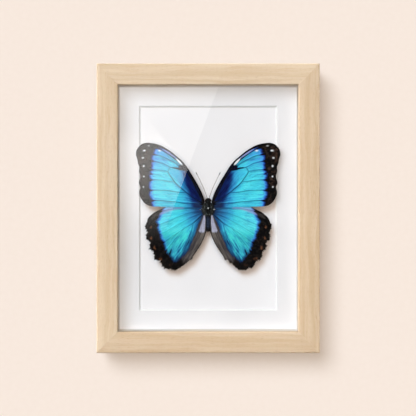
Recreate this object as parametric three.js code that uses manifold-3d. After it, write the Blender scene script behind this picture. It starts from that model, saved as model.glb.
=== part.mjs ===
// A set blue butterfly in a wall-hung wooden box frame. Millimetres, +Z up, the front faces -Y.
// The origin is the hanging point: the spot on the wall where the nail carries the saw-tooth hanger.
// Inside the frame, heights are measured from the frame's centre and depths from its front face.

import * as THREE from 'three';
import { mergeVertices } from 'three/addons/utils/BufferGeometryUtils.js';
import Module from 'manifold-3d';

const manifold = await Module();
manifold.setup();

// ---- Driving dimensions: the wooden frame ----
const SIGHT_WIDTH = 140; // clear opening inside the front lip
const SIGHT_HEIGHT = 191.4;
const FACE_WIDTH = 16.4; // a rail seen from the front
const FRAME_DEPTH = 32;
const LIP_DEPTH = 8; // wood in front of the glass
const REBATE = 5; // how far the lip reaches over the glass
const ARRIS = 0.8; // rounding of the front's long edges
const MITRE_GAP = 0.1;
const HANG_HEIGHT = 85; // the hanging point above the frame's centre

// ---- Driving dimensions: the sheets, from front to back ----
const SHEET_PLAY = 0.4; // room between a sheet's edge and the rebate's wall
const LAYER_GAP = 0.1; // room between two stacked sheets
const GLASS = 2;
const CASE_DEPTH = 10.7; // what the spacers keep open between the glass and the mat
const MAT = 1.4;
const BACKING = 3;
const BACK_PANEL = 2.5;
const SPACER_WIDTH = 4.4;
const WINDOW_WIDTH = 107.4; // the mat's window at its back
const WINDOW_HEIGHT = 160.2;
const BEVEL = 1.2; // the sloping edge of the mat's window, seen from the front

// ---- Driving dimensions: what holds it together behind ----
const TAB = { length: 14, width: 6, thickness: 0.4, inWood: 3, spacing: 84, rise: 0.1 };
const CORNER_NAIL = { leg: 5, thickness: 0.5, inset: 5, depth: 7, recess: 0.2 };
const HANGER = {
  length: 44, height: 9.5, thickness: 0.7, raised: 24, rise: 1.6, step: 2, pitch: 2.45, notch: 2.4,
  tooth: 1.5,
};
const TACK = { spacing: 35, head: 1.6, dome: 0.7, shank: 0.6, inPanel: 2.1 };
const CLEARANCE = 0.3; // round a pin, tack, tab or nail in its hole

// ---- Driving dimensions: the butterfly ----
const BODY_AXIS_DEPTH = 14.2;
const FOREWING_DEPTH = 12.9; // the middle of the wing's thickness
const HINDWING_DEPTH = 13.7;
const WING_THICKNESS = 0.4;
const PIN = { radius: 0.25, head: 0.7, start: 10.5, inBacking: 2.3 };
const ANTENNA = { radius: 0.3, club: 0.55, clubLength: 2.4, depth: 12.6 };

// The body's radius along its length, from the head's crown down to the tail.
const BODY_PROFILE = [
  [0, 7.9], [1.3, 7.5], [2.1, 6.5], [2.0, 5.2], [1.5, 4.5],
  [2.3, 3.3], [2.7, 1.2], [2.65, -1.6], [2.2, -4.1], [1.5, -5.4],
  [1.85, -7.6], [1.95, -10.6], [1.8, -13.8], [1.3, -16.9], [0.6, -18.4], [0, -18.7],
];

// Wing outlines of the right side: across from the body's axis, and up from the frame's centre.
const FOREWING = {
  root: [3.1, 0.4],
  costa: [[3.1, 5.6], [7.6, 16.4], [13.6, 27.9], [20.1, 36.0], [28.1, 43.2], [33.7, 47.6], [40.1, 50.3],
    [47.7, 51.2], [51.8, 50.7], [55.0, 48.1], [56.6, 44.4], [56.3, 41.2]],
  margin: [[55.0, 35.6], [54.0, 31.1], [53.7, 24.8], [54.0, 20.8], [53.5, 16.4], [53.7, 12.7], [53.2, 8.7],
    [51.0, 5.1], [47.4, 2.7], [43.7, 1.65]],
  trail: [[33.7, 1.1], [17.6, 0.7], [3.1, 0.4]],
};
const HINDWING = {
  root: [2.6, -5.0],
  costa: [[3.1, -0.6], [11.0, 0.7], [20.1, 0.8], [31.4, 0.1], [38.2, -2.2], [42.7, -4.5], [46.9, -7.5],
    [48.4, -10.1]],
  margin: [[48.9, -14.6], [48.3, -22.9], [45.9, -30.0], [42.5, -37.5], [38.0, -43.0], [33.3, -46.8],
    [27.7, -48.3]],
  trail: [[20.1, -45.1], [14.1, -41.0], [8.8, -33.8], [5.1, -27.4], [2.6, -20.5], [2.3, -12.0], [2.6, -5.0]],
};
const ANTENNA_ROUTE = [[0.9, 8.2, 0], [2.6, 13.4, -0.5], [5.6, 20.6, -0.9], [9.6, 28.2, -0.8]];

// ---- Sizes worked out from those ----
const OUTER_WIDTH = SIGHT_WIDTH + 2 * FACE_WIDTH;
const OUTER_HEIGHT = SIGHT_HEIGHT + 2 * FACE_WIDTH;
const SHEET_WIDTH = SIGHT_WIDTH + 2 * (REBATE - SHEET_PLAY);
const SHEET_HEIGHT = SIGHT_HEIGHT + 2 * (REBATE - SHEET_PLAY);
const WALL_THICKNESS = FACE_WIDTH - REBATE; // of a rail, behind its lip

const glassDepth = LIP_DEPTH + LAYER_GAP;
const spacerDepth = glassDepth + GLASS + LAYER_GAP;
const matDepth = spacerDepth + CASE_DEPTH + LAYER_GAP;
const backingDepth = matDepth + MAT + LAYER_GAP;
const panelDepth = backingDepth + BACKING + LAYER_GAP;
const panelBack = yAt(panelDepth + BACK_PANEL);
const hangerMiddle = HANG_HEIGHT + HANGER.height / 2 - HANGER.tooth; // the nail sits in a notch's top

/** The Y of a depth behind the frame's front face. The frame's back is at Y = 0, on the wall. */
function yAt(depth) {
  return depth - FRAME_DEPTH;
}

// ---- Materials ----
function finish(name, color, roughness, metalness = 0) {
  return new THREE.MeshStandardMaterial({ name, color, roughness, metalness });
}
const WOOD = finish('pale_wood', 0xe2c8a6, 0.6);
const PANE = finish('clear_glass', 0xeaf4f2, 0.03);
PANE.transparent = true;
PANE.opacity = 0.2;
const BOARD = finish('white_board', 0xf2f0f1, 0.9);
const SPACER = finish('white_spacer', 0xece9e6, 0.9);
const HARDBOARD = finish('brown_hardboard', 0x8a6a48, 0.8);
const STEEL = finish('zinc_steel', 0xb4b6b8, 0.35, 1);
const BODY = finish('black_fur', 0x14110f, 0.85);
const WING = finish('blue_wing', 0x2f9fe0, 0.4);
const ANTENNA_SKIN = finish('antenna_brown', 0x5a4634, 0.7);

// ---- Solids ----
/** The closed solid of a geometry, for cutting and joining. */
function solidOf(geometry) {
  const bare = geometry.clone();
  bare.deleteAttribute('normal');
  bare.deleteAttribute('uv');
  const merged = mergeVertices(bare, 1e-4);
  return new manifold.Manifold(new manifold.Mesh({
    numProp: 3,
    vertProperties: new Float32Array(merged.attributes.position.array),
    triVerts: new Uint32Array(merged.index.array),
  }));
}

/** The geometry of a solid. */
function geometryOf(solid) {
  const mesh = solid.getMesh();
  const geometry = new THREE.BufferGeometry();
  geometry.setAttribute('position', new THREE.BufferAttribute(new Float32Array(mesh.vertProperties), 3));
  geometry.setIndex(new THREE.BufferAttribute(new Uint32Array(mesh.triVerts), 1));
  const flat = geometry.toNonIndexed();
  flat.computeVertexNormals();
  return flat;
}

function cut(geometry, cutters) {
  return geometryOf(cutters.reduce((solid, cutter) => solid.subtract(solidOf(cutter)), solidOf(geometry)));
}

function join(first, second) {
  return geometryOf(solidOf(first).add(solidOf(second)));
}

/** A box from its lowest and highest corners. */
function box(low, high) {
  const size = high.map((value, i) => value - low[i]);
  const middle = high.map((value, i) => (value + low[i]) / 2);
  return new THREE.BoxGeometry(...size).translate(...middle);
}

/** A round bar along Y, from one Y to another, centred at x and z. */
function barAlongY(radius, yFrom, yTo, x = 0, z = 0, sides = 16) {
  return new THREE.CylinderGeometry(radius, radius, yTo - yFrom, sides).translate(x, (yFrom + yTo) / 2, z);
}

/** Turns a geometry drawn in XY and extruded along Z, so that it stands in XZ with its depth along Y. */
function standUp(geometry, yFrom) {
  return geometry.rotateX(Math.PI / 2).translate(0, yFrom, 0);
}

/** A flat outline in X and Z, given a thickness along Y that ends at yTo. */
function plate(shape, thickness, yTo, curveSegments = 4) {
  const flat = new THREE.ExtrudeGeometry(shape, { depth: thickness, bevelEnabled: false, curveSegments });
  return standUp(flat, yTo);
}

function node(parent, name, geometry, material) {
  const mesh = new THREE.Mesh(geometry, material.clone());
  mesh.name = name;
  parent.add(mesh);
}

// ---- The frame's rails ----
// A rail is drawn lying along X above the frame's centre, as the top rail lies. A group turns the others.
const RAILS = [
  { side: 'top', turn: 0, halfLength: OUTER_WIDTH / 2, reach: OUTER_HEIGHT / 2 },
  { side: 'right', turn: Math.PI / 2, halfLength: OUTER_HEIGHT / 2, reach: OUTER_WIDTH / 2 },
  { side: 'bottom', turn: Math.PI, halfLength: OUTER_WIDTH / 2, reach: OUTER_HEIGHT / 2 },
  { side: 'left', turn: -Math.PI / 2, halfLength: OUTER_HEIGHT / 2, reach: OUTER_WIDTH / 2 },
];

/** The rail's L section: across from its outer edge, and its depth as Y. */
function railSection() {
  const front = yAt(0);
  const shape = new THREE.Shape();
  shape.moveTo(0, 0);
  shape.lineTo(0, front + ARRIS);
  shape.absarc(ARRIS, front + ARRIS, ARRIS, Math.PI, 1.5 * Math.PI);
  shape.lineTo(FACE_WIDTH - ARRIS, front);
  shape.absarc(FACE_WIDTH - ARRIS, front + ARRIS, ARRIS, 1.5 * Math.PI, 2 * Math.PI);
  shape.lineTo(FACE_WIDTH, yAt(LIP_DEPTH));
  shape.lineTo(WALL_THICKNESS, yAt(LIP_DEPTH));
  shape.lineTo(WALL_THICKNESS, 0);
  return shape;
}

/** The section run along X, both ends mitred: a point's end is as far in as the point is from the edge. */
function mitredRail({ halfLength, reach }) {
  const rail = new THREE.ExtrudeGeometry(railSection(), { depth: 1, bevelEnabled: false, curveSegments: 3 });
  const places = rail.attributes.position;
  for (let i = 0; i < places.count; i += 1) {
    const across = places.getX(i);
    const end = halfLength - across - MITRE_GAP / 2;
    places.setXYZ(i, places.getZ(i) > 0.5 ? end : -end, places.getY(i), reach - across);
  }
  return rail;
}

/** An angled corner nail, one leg in each of two rails. grow makes its slot, way is -1 for the left end. */
function cornerNail({ halfLength, reach }, way, grow = 0) {
  const { leg, thickness, inset, depth, recess } = CORNER_NAIL;
  const half = thickness / 2 + grow;
  const [x, z] = [halfLength - inset, reach - inset];
  const corners = [
    [half, half], [-leg - grow, half], [-leg - grow, -half],
    [-half, -half], [-half, -leg - grow], [half, -leg - grow],
  ];
  const turned = corners.map(([dx, dz]) => new THREE.Vector2(way * (x + dx), z + dz));
  const shape = new THREE.Shape(turned);
  const back = grow > 0 ? 1 : -recess;
  return plate(shape, back + recess + depth + grow, back);
}

function tabMiddles() {
  return [-TAB.spacing / 2, TAB.spacing / 2];
}

/** A sprung steel tongue, pushed into the rebate's wall and lying on the back panel. */
function tab({ reach }, middle) {
  const outer = reach - WALL_THICKNESS + TAB.inWood;
  const round = TAB.width / 2;
  const shape = new THREE.Shape();
  shape.moveTo(middle + round, outer);
  shape.lineTo(middle - round, outer);
  shape.lineTo(middle - round, outer - TAB.length + round);
  shape.absarc(middle, outer - TAB.length + round, round, Math.PI, 2 * Math.PI);
  const yTo = panelBack + TAB.rise + TAB.thickness;
  return plate(shape, TAB.thickness, yTo, 5);
}

function tabSlot({ reach }, middle) {
  const half = TAB.width / 2 + CLEARANCE;
  const wall = reach - WALL_THICKNESS;
  const yFrom = panelBack + TAB.rise;
  return box(
    [middle - half, yFrom - CLEARANCE, wall - 1],
    [middle + half, yFrom + TAB.thickness + CLEARANCE, wall + TAB.inWood + CLEARANCE],
  );
}

function addRail(frame, rail) {
  const group = new THREE.Group();
  group.rotation.y = rail.turn;
  frame.add(group);
  const slots = [
    cornerNail(rail, 1, CLEARANCE),
    cornerNail(rail, -1, CLEARANCE),
    ...tabMiddles().map((middle) => tabSlot(rail, middle)),
  ];
  node(group, `rail_${rail.side}`, cut(mitredRail(rail), slots), WOOD);
  node(group, `corner_nail_${rail.side}`, cornerNail(rail, 1), STEEL);
  tabMiddles().forEach((middle, i) => node(group, `tab_${rail.side}_${i + 1}`, tab(rail, middle), STEEL));
}

// ---- The sheets ----
/** A sheet that fills the rebate, with its front at a depth. */
function sheet(depth, thickness) {
  return box(
    [-SHEET_WIDTH / 2, yAt(depth), -SHEET_HEIGHT / 2],
    [SHEET_WIDTH / 2, yAt(depth + thickness), SHEET_HEIGHT / 2],
  );
}

/** The block that leaves the mat's window with its sloping edges, a little longer than the mat is thick. */
function windowBlock() {
  const slope = BEVEL / MAT;
  const past = 1;
  const block = box([-1, yAt(matDepth) - past, -1], [1, yAt(matDepth + MAT) + past, 1]);
  const places = block.attributes.position;
  for (let i = 0; i < places.count; i += 1) {
    const spread = slope * (places.getY(i) < yAt(matDepth) ? MAT + past : -past);
    places.setX(i, places.getX(i) * (WINDOW_WIDTH / 2 + spread));
    places.setZ(i, places.getZ(i) * (WINDOW_HEIGHT / 2 + spread));
  }
  return block;
}

function addSpacers(frame) {
  const [yFrom, yTo] = [yAt(spacerDepth), yAt(spacerDepth + CASE_DEPTH)];
  const [right, top] = [SHEET_WIDTH / 2, SHEET_HEIGHT / 2];
  const under = top - SPACER_WIDTH - LAYER_GAP;
  node(frame, 'spacer_top', box([-right, yFrom, top - SPACER_WIDTH], [right, yTo, top]), SPACER);
  node(frame, 'spacer_bottom', box([-right, yFrom, -top], [right, yTo, SPACER_WIDTH - top]), SPACER);
  node(frame, 'spacer_right', box([right - SPACER_WIDTH, yFrom, -under], [right, yTo, under]), SPACER);
  node(frame, 'spacer_left', box([-right, yFrom, -under], [SPACER_WIDTH - right, yTo, under]), SPACER);
}

function tackMiddles() {
  return [-TACK.spacing / 2, TACK.spacing / 2];
}

function addSheets(frame) {
  const backingFront = yAt(backingDepth);
  const pinHole = barAlongY(
    PIN.radius + CLEARANCE, backingFront - 1, backingFront + PIN.inBacking + CLEARANCE, 0, 0, 12,
  );
  const tackHoles = tackMiddles().map((x) => (
    barAlongY(TACK.shank + CLEARANCE, panelBack - BACK_PANEL - 1, panelBack + 1, x, hangerMiddle, 12)
  ));
  node(frame, 'glass_pane', sheet(glassDepth, GLASS), PANE);
  node(frame, 'mat_board', cut(sheet(matDepth, MAT), [windowBlock()]), BOARD);
  node(frame, 'backing_board', cut(sheet(backingDepth, BACKING), [pinHole]), BOARD);
  node(frame, 'back_panel', cut(sheet(panelDepth, BACK_PANEL), tackHoles), HARDBOARD);
}

// ---- The hanger ----
/** The hanger from above: two feet on the panel and a raised bridge between them. */
function hangerSection() {
  const { length, thickness, raised, rise, step } = HANGER;
  const foot = panelBack + LAYER_GAP;
  const shape = new THREE.Shape();
  const outside = [[length / 2, 0], [raised / 2 + step, 0], [raised / 2, rise], [-raised / 2, rise],
    [-raised / 2 - step, 0], [-length / 2, 0]];
  outside.forEach(([x, y], i) => shape[i ? 'lineTo' : 'moveTo'](x, foot + y));
  outside.reverse().forEach(([x, y]) => shape.lineTo(x, foot + y + thickness));
  return shape;
}

/** One notch of the saw-tooth edge, pointing up from below the bridge. */
function notch(x) {
  const low = hangerMiddle - HANGER.height / 2;
  const half = HANGER.notch / 2;
  const past = 0.01;
  const shape = new THREE.Shape([
    new THREE.Vector2(x - half, low - past),
    new THREE.Vector2(x + half, low - past),
    new THREE.Vector2(x, low + HANGER.tooth),
  ]);
  return plate(shape, FRAME_DEPTH, 1);
}

function hangerStrip() {
  const strip = new THREE.ExtrudeGeometry(hangerSection(), { depth: HANGER.height, bevelEnabled: false });
  strip.translate(0, 0, hangerMiddle - HANGER.height / 2);
  const count = Math.floor(HANGER.raised / HANGER.pitch);
  const notches = Array.from({ length: count }, (_, i) => notch((i - (count - 1) / 2) * HANGER.pitch));
  const holes = tackMiddles().map((x) => (
    barAlongY(TACK.shank + CLEARANCE, panelBack - 1, 1, x, hangerMiddle, 12)
  ));
  return cut(strip, [...notches, ...holes]);
}

/** A round-headed tack along Y: its shank in the panel, its head on the hanger's foot. */
function tack(x) {
  const seat = panelBack + LAYER_GAP + HANGER.thickness + LAYER_GAP;
  const tip = panelBack - TACK.inPanel;
  const profile = [
    [0, tip], [TACK.shank * 0.4, tip], [TACK.shank, tip + 0.6], [TACK.shank, seat], [TACK.head, seat],
    [TACK.head * 0.92, seat + TACK.dome * 0.5], [TACK.head * 0.5, seat + TACK.dome * 0.92],
    [0, seat + TACK.dome],
  ].map(([r, y]) => new THREE.Vector2(r, y));
  return new THREE.LatheGeometry(profile, 16).translate(x, 0, hangerMiddle);
}

function addHanger(frame) {
  node(frame, 'sawtooth_hanger', hangerStrip(), STEEL);
  tackMiddles().forEach((x, i) => node(frame, `hanger_tack_${i + 1}`, tack(x), STEEL));
}

// ---- The butterfly ----
/** Head, thorax and abdomen in one round body along Z, with the pin's hole through the thorax. */
function bodySolid() {
  const profile = BODY_PROFILE.map(([r, z]) => new THREE.Vector2(r, z)).reverse();
  const body = new THREE.LatheGeometry(profile, 14).rotateX(Math.PI / 2);
  body.translate(0, yAt(BODY_AXIS_DEPTH), 0);
  return cut(body, [barAlongY(PIN.radius + CLEARANCE, yAt(PIN.start), yAt(matDepth), 0, 0, 12)]);
}

/** The wing's outline as three smooth stretches that meet at its corners. side is -1 for the left wing. */
function wingShape({ root, costa, margin, trail }, side) {
  const point = ([x, z]) => new THREE.Vector2(side * x, z);
  const shape = new THREE.Shape();
  shape.moveTo(side * root[0], root[1]);
  shape.lineTo(side * costa[0][0], costa[0][1]);
  shape.splineThru(costa.slice(1).map(point));
  shape.splineThru(margin.map(point));
  shape.splineThru(trail.map(point));
  return shape;
}

function wing(outline, side, depth) {
  return plate(wingShape(outline, side), WING_THICKNESS, yAt(depth) + WING_THICKNESS / 2, 2);
}

/** A thin round feeler that curves out from the head and ends in a slim club. */
function antenna(side) {
  const points = ANTENNA_ROUTE.map(([x, z, y]) => new THREE.Vector3(side * x, yAt(ANTENNA.depth) + y, z));
  const route = new THREE.CatmullRomCurve3(points);
  const section = new THREE.Shape().absarc(0, 0, ANTENNA.radius, 0, 2 * Math.PI);
  const stem = new THREE.ExtrudeGeometry(section, { steps: 14, curveSegments: 4, extrudePath: route });
  const club = new THREE.SphereGeometry(1, 8, 6).scale(ANTENNA.club, ANTENNA.clubLength / 2, ANTENNA.club);
  const end = route.getTangent(1);
  club.applyQuaternion(new THREE.Quaternion().setFromUnitVectors(new THREE.Vector3(0, 1, 0), end));
  club.translate(...points.at(-1).toArray());
  return join(stem, club);
}

/** The insect pin: a small round head, and a thin shaft that ends in a point inside the backing board. */
function insectPin() {
  const { radius, head, start, inBacking } = PIN;
  const tip = yAt(backingDepth) + inBacking;
  const top = yAt(start);
  const profile = [
    [0, top], [head * 0.7, top + head * 0.3], [head, top + head], [head * 0.7, top + head * 1.7],
    [radius, top + head * 1.95], [radius, tip - 1], [0, tip],
  ].map(([r, y]) => new THREE.Vector2(r, y));
  return new THREE.LatheGeometry(profile, 12);
}

function addButterfly(frame) {
  node(frame, 'butterfly_body', bodySolid(), BODY);
  for (const [name, side] of [['right', 1], ['left', -1]]) {
    node(frame, `forewing_${name}`, wing(FOREWING, side, FOREWING_DEPTH), WING);
    node(frame, `hindwing_${name}`, wing(HINDWING, side, HINDWING_DEPTH), WING);
    node(frame, `antenna_${name}`, antenna(side), ANTENNA_SKIN);
  }
  node(frame, 'insect_pin', insectPin(), STEEL);
}

// ---- The whole ----
const group = new THREE.Group();
const frame = new THREE.Group();
frame.position.z = -HANG_HEIGHT;
group.add(frame);
RAILS.forEach((rail) => addRail(frame, rail));
addSpacers(frame);
addSheets(frame);
addHanger(frame);
addButterfly(frame);

export default group;
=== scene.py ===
# %% [markdown]
# # A set butterfly in a box frame
# A blue butterfly is pinned in a shallow wooden box behind glass, and the box hangs on a wall.
# The construction, with every piece at its real size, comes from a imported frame. This script gives
# it its looks: it puts finer meshes in the place of some pieces and a finish on all of them.

# %% Load the construction
import math

import bmesh
import bpy
import numpy as np
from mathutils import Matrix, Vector


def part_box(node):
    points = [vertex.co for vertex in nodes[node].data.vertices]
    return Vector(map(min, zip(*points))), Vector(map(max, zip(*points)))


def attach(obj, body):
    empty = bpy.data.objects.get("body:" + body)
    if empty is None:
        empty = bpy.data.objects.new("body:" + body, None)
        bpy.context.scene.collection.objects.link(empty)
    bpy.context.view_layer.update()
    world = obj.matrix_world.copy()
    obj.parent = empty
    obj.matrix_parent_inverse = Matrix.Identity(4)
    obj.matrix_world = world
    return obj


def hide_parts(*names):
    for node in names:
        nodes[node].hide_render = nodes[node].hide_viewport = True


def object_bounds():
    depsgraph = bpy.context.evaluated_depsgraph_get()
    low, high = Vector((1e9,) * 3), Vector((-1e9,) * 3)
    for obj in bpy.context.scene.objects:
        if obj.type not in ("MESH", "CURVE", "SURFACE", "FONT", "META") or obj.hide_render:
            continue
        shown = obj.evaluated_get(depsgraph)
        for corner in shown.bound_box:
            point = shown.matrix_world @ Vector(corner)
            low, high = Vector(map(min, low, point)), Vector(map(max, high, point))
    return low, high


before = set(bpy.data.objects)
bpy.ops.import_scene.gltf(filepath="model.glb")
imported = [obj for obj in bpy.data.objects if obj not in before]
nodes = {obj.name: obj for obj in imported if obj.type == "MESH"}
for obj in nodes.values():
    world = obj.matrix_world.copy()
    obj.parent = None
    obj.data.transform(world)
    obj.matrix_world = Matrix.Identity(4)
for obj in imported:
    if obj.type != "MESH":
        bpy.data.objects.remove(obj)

cad_box = [list(corner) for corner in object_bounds()]
print("construction:", len(nodes), "pieces, box in metres", cad_box)

# %% [markdown]
# ## One way to say where things are
# Pictures are measured across, up and into the wall. So every shape below is worked out in
# millimetres as x (right of the frame's middle), h (above it) and d (behind the front face), and
# one function turns those into the frame's own metres.

# %% Measures of the frame
MM = 0.001
pane_low, pane_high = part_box("glass_pane")
MIDDLE = (pane_low + pane_high) / 2
FRONT = cad_box[0][1]
OUTER_WIDTH = (cad_box[1][0] - cad_box[0][0]) / MM
OUTER_HEIGHT = (cad_box[1][2] - cad_box[0][2]) / MM
FRAME_DEPTH = (cad_box[1][1] - FRONT) / MM


def place(x, d, h):
    """Metres in the frame, from millimetres across, behind the front and above the middle."""
    x, d, h = np.broadcast_arrays(x, d, h)
    return np.stack([x * MM + MIDDLE.x, d * MM + FRONT, h * MM + MIDDLE.z], -1)


def depth_of(node):
    """Front and back of a node, in millimetres behind the frame's front."""
    low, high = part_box(node)
    return (low.y - FRONT) / MM, (high.y - FRONT) / MM


print("frame", OUTER_WIDTH, "x", OUTER_HEIGHT, "x", FRAME_DEPTH, "mm; mat at depth", depth_of("mat_board"))

# %% [markdown]
# ## The camera
# The box is seen square on, from less than a metre away, so that a sliver of each inner wall shows.
# A long lens from further off would lose those slivers, and a closer one would widen them.

# %% Camera
CAMERA_DISTANCE = 800.0
VIEW_WIDTH = 322.0
MIDDLE_OFF = (0.12, -0.16)
SENSOR = 36.0

camera_data = bpy.data.cameras.new("camera")
camera_data.sensor_width = SENSOR
camera_data.lens = SENSOR * CAMERA_DISTANCE / VIEW_WIDTH
camera = bpy.data.objects.new("camera", camera_data)
camera.location = place(-MIDDLE_OFF[0], -CAMERA_DISTANCE, -MIDDLE_OFF[1])
camera.rotation_euler = (math.pi / 2, 0, 0)
bpy.context.scene.collection.objects.link(camera)
bpy.context.scene.camera = camera
bpy.context.scene.view_settings.view_transform = "Standard"
print("lens", round(camera_data.lens, 1), "mm")

# %% [markdown]
# ## Meshes from whole arrays
# Each shape is a grid of points worked out at once with numpy. A shell is a dictionary: its points,
# its faces, which finish each face has, its map and its marks. A mark is one number for each point,
# which a finish reads as an attribute. A pole or a seam is a row of points that coincide, and
# merging them closes the shell.


# %% Shells
def grid(points, finish=0, uv=None, **marks):
    """A shell of quads over an array of points, rows by columns by 3, or a stack of such arrays."""
    shape = points.shape[:-1]
    number = np.arange(int(np.prod(shape))).reshape(shape)
    corners = [number[..., :-1, :-1], number[..., :-1, 1:], number[..., 1:, 1:], number[..., 1:, :-1]]
    faces = np.stack(corners, -1).reshape(-1, 4)
    return {
        "points": points.reshape(-1, 3),
        "faces": faces,
        "finish": np.full(len(faces), finish),
        "uv": np.zeros((number.size, 2)) if uv is None else np.broadcast_to(uv, (*shape, 2)).reshape(-1, 2),
        "marks": {name: np.broadcast_to(mark, shape).ravel() for name, mark in marks.items()},
    }


def together(shells):
    """Several shells as one. A mark that a shell lacks is 0 there."""
    starts = np.cumsum([0] + [len(shell["points"]) for shell in shells[:-1]])
    names = sorted({name for shell in shells for name in shell["marks"]})
    return {
        "points": np.concatenate([shell["points"] for shell in shells]),
        "faces": np.concatenate([shell["faces"] + start for shell, start in zip(shells, starts)]),
        "finish": np.concatenate([shell["finish"] for shell in shells]),
        "uv": np.concatenate([shell["uv"] for shell in shells]),
        "marks": {
            name: np.concatenate([s["marks"].get(name, np.zeros(len(s["points"]))) for s in shells])
            for name in names
        },
    }


MERGE = 1e-7


def make_piece(name, shell, finishes, replaces=(), sharp=40.0):
    """A shell as an object that rides with the frame: poles merged, faces outwards, smooth up to an angle."""
    mesh = bpy.data.meshes.new(name)
    mesh.from_pydata(shell["points"].tolist(), [], shell["faces"].tolist())
    mesh.polygons.foreach_set("material_index", shell["finish"].astype(np.int32))
    for mark, values in shell["marks"].items():
        mesh.attributes.new(mark, "FLOAT", "POINT").data.foreach_set("value", values.astype(np.float32))
    corner = np.zeros(len(mesh.loops), np.int32)
    mesh.loops.foreach_get("vertex_index", corner)
    mesh.uv_layers.new(name="Lay").uv.foreach_set("vector", shell["uv"][corner].astype(np.float32).ravel())
    work = bmesh.new()
    work.from_mesh(mesh)
    bmesh.ops.remove_doubles(work, verts=work.verts, dist=MERGE)
    bmesh.ops.recalc_face_normals(work, faces=work.faces)
    work.to_mesh(mesh)
    work.free()
    mesh.shade_smooth()
    mesh.set_sharp_from_angle(angle=math.radians(sharp))
    for finish in finishes:
        mesh.materials.append(finish)
    piece = bpy.data.objects.new(name, mesh)
    bpy.context.scene.collection.objects.link(piece)
    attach(piece, "root")
    if replaces:
        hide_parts(*replaces)
    return piece


# %% [markdown]
# ## Two families of shapes
# A curve through a few chosen points gives every outline, vein and feeler. A tube round a path gives
# whatever is long and round: veins, hairs, feelers, the pin and the body itself. Writing the tube
# for a whole stack of paths at once makes thousands of hairs as quickly as one.


# %% Curves and tubes
def smooth_curve(points, count):
    """Points at even steps along a curve through the given ones. Between two of them it is a cubic
    whose end slopes are those of the chord between their neighbours."""
    points = np.asarray(points, float)
    step = np.linalg.norm(np.diff(points, axis=0), axis=1)
    at = np.concatenate([[0], np.cumsum(step)])
    slope = np.gradient(points, at, axis=0)
    fine = np.linspace(0, at[-1], 60 * len(points))
    i = np.clip(np.searchsorted(at, fine, side="right") - 1, 0, len(step) - 1)
    w, long = ((fine - at[i]) / step[i])[:, None], step[i][:, None]
    curve = (
        (2 * w**3 - 3 * w**2 + 1) * points[i]
        + (w**3 - 2 * w**2 + w) * long * slope[i]
        + (3 * w**2 - 2 * w**3) * points[i + 1]
        + (w**3 - w**2) * long * slope[i + 1]
    )
    run = np.concatenate([[0], np.cumsum(np.linalg.norm(np.diff(curve, axis=0), axis=1))])
    even = np.linspace(0, run[-1], count)
    return np.stack([np.interp(even, run, curve[:, k]) for k in range(curve.shape[1])], -1)


def tube(paths, radii, sides, towards=(0.31, 0.17, 0.93), **marks):
    """Closed tubes round paths (..., rows, 3) with a radius at each row. A point is
    C + r (cos a N + sin a B), where N and B are square to the path C and a goes once round. A
    radius of two numbers flattens the section: the first is across, the second towards."""
    along = np.gradient(paths, axis=-2)
    along /= np.linalg.norm(along, axis=-1, keepdims=True) + 1e-12
    side = np.cross(along, np.asarray(towards, float))
    side /= np.linalg.norm(side, axis=-1, keepdims=True) + 1e-12
    other = np.cross(side, along)
    turn = np.linspace(0, 2 * np.pi, sides + 1)
    radii = np.asarray(radii, float)
    across, up = (radii[..., 0], radii[..., 1]) if radii.shape[-1] == 2 else (radii, radii)
    around = (
        (across[..., None] * np.cos(turn))[..., None] * side[..., None, :]
        + (up[..., None] * np.sin(turn))[..., None] * other[..., None, :]
    )
    spread = {name: np.asarray(mark)[..., None] for name, mark in marks.items()}
    return grid(paths[..., None, :] + around, **spread)


# %% [markdown]
# ## Finishes as plain sums
# A finish is a tree of nodes, but most of it is arithmetic. A small class wraps a node's output, so
# that `1 - mask * 0.4` adds the Math nodes by itself. Every other node comes from one method, which
# takes the node's type, its settings, and what its sockets hold.


# %% Nodes as expressions
def tone(red, green, blue):
    """A colour as it is seen on a screen, from 0 to 255, as the linear one that the nodes take."""
    seen = np.array([red, green, blue]) / 255
    linear = np.where(seen <= 0.04045, seen / 12.92, ((seen + 0.055) / 1.055) ** 2.4)
    return (*linear.tolist(), 1.0)


class Wire:
    """One output of a node. Sums and products of wires and numbers are wires too."""

    def __init__(self, finish, socket):
        self.finish, self.socket = finish, socket

    def sum_of(self, operation, first, second):
        return self.finish.node("Math", {"operation": operation}, {0: first, 1: second})

    def __add__(self, other):
        return self.sum_of("ADD", self, other)

    def __radd__(self, other):
        return self.sum_of("ADD", other, self)

    def __sub__(self, other):
        return self.sum_of("SUBTRACT", self, other)

    def __rsub__(self, other):
        return self.sum_of("SUBTRACT", other, self)

    def __mul__(self, other):
        return self.sum_of("MULTIPLY", self, other)

    def __rmul__(self, other):
        return self.sum_of("MULTIPLY", other, self)

    def __truediv__(self, other):
        return self.sum_of("DIVIDE", self, other)

    def __pow__(self, other):
        return self.sum_of("POWER", self, other)

    def __or__(self, other):
        return self.sum_of("MAXIMUM", self, other)

    def __and__(self, other):
        return self.sum_of("MINIMUM", self, other)


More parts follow.
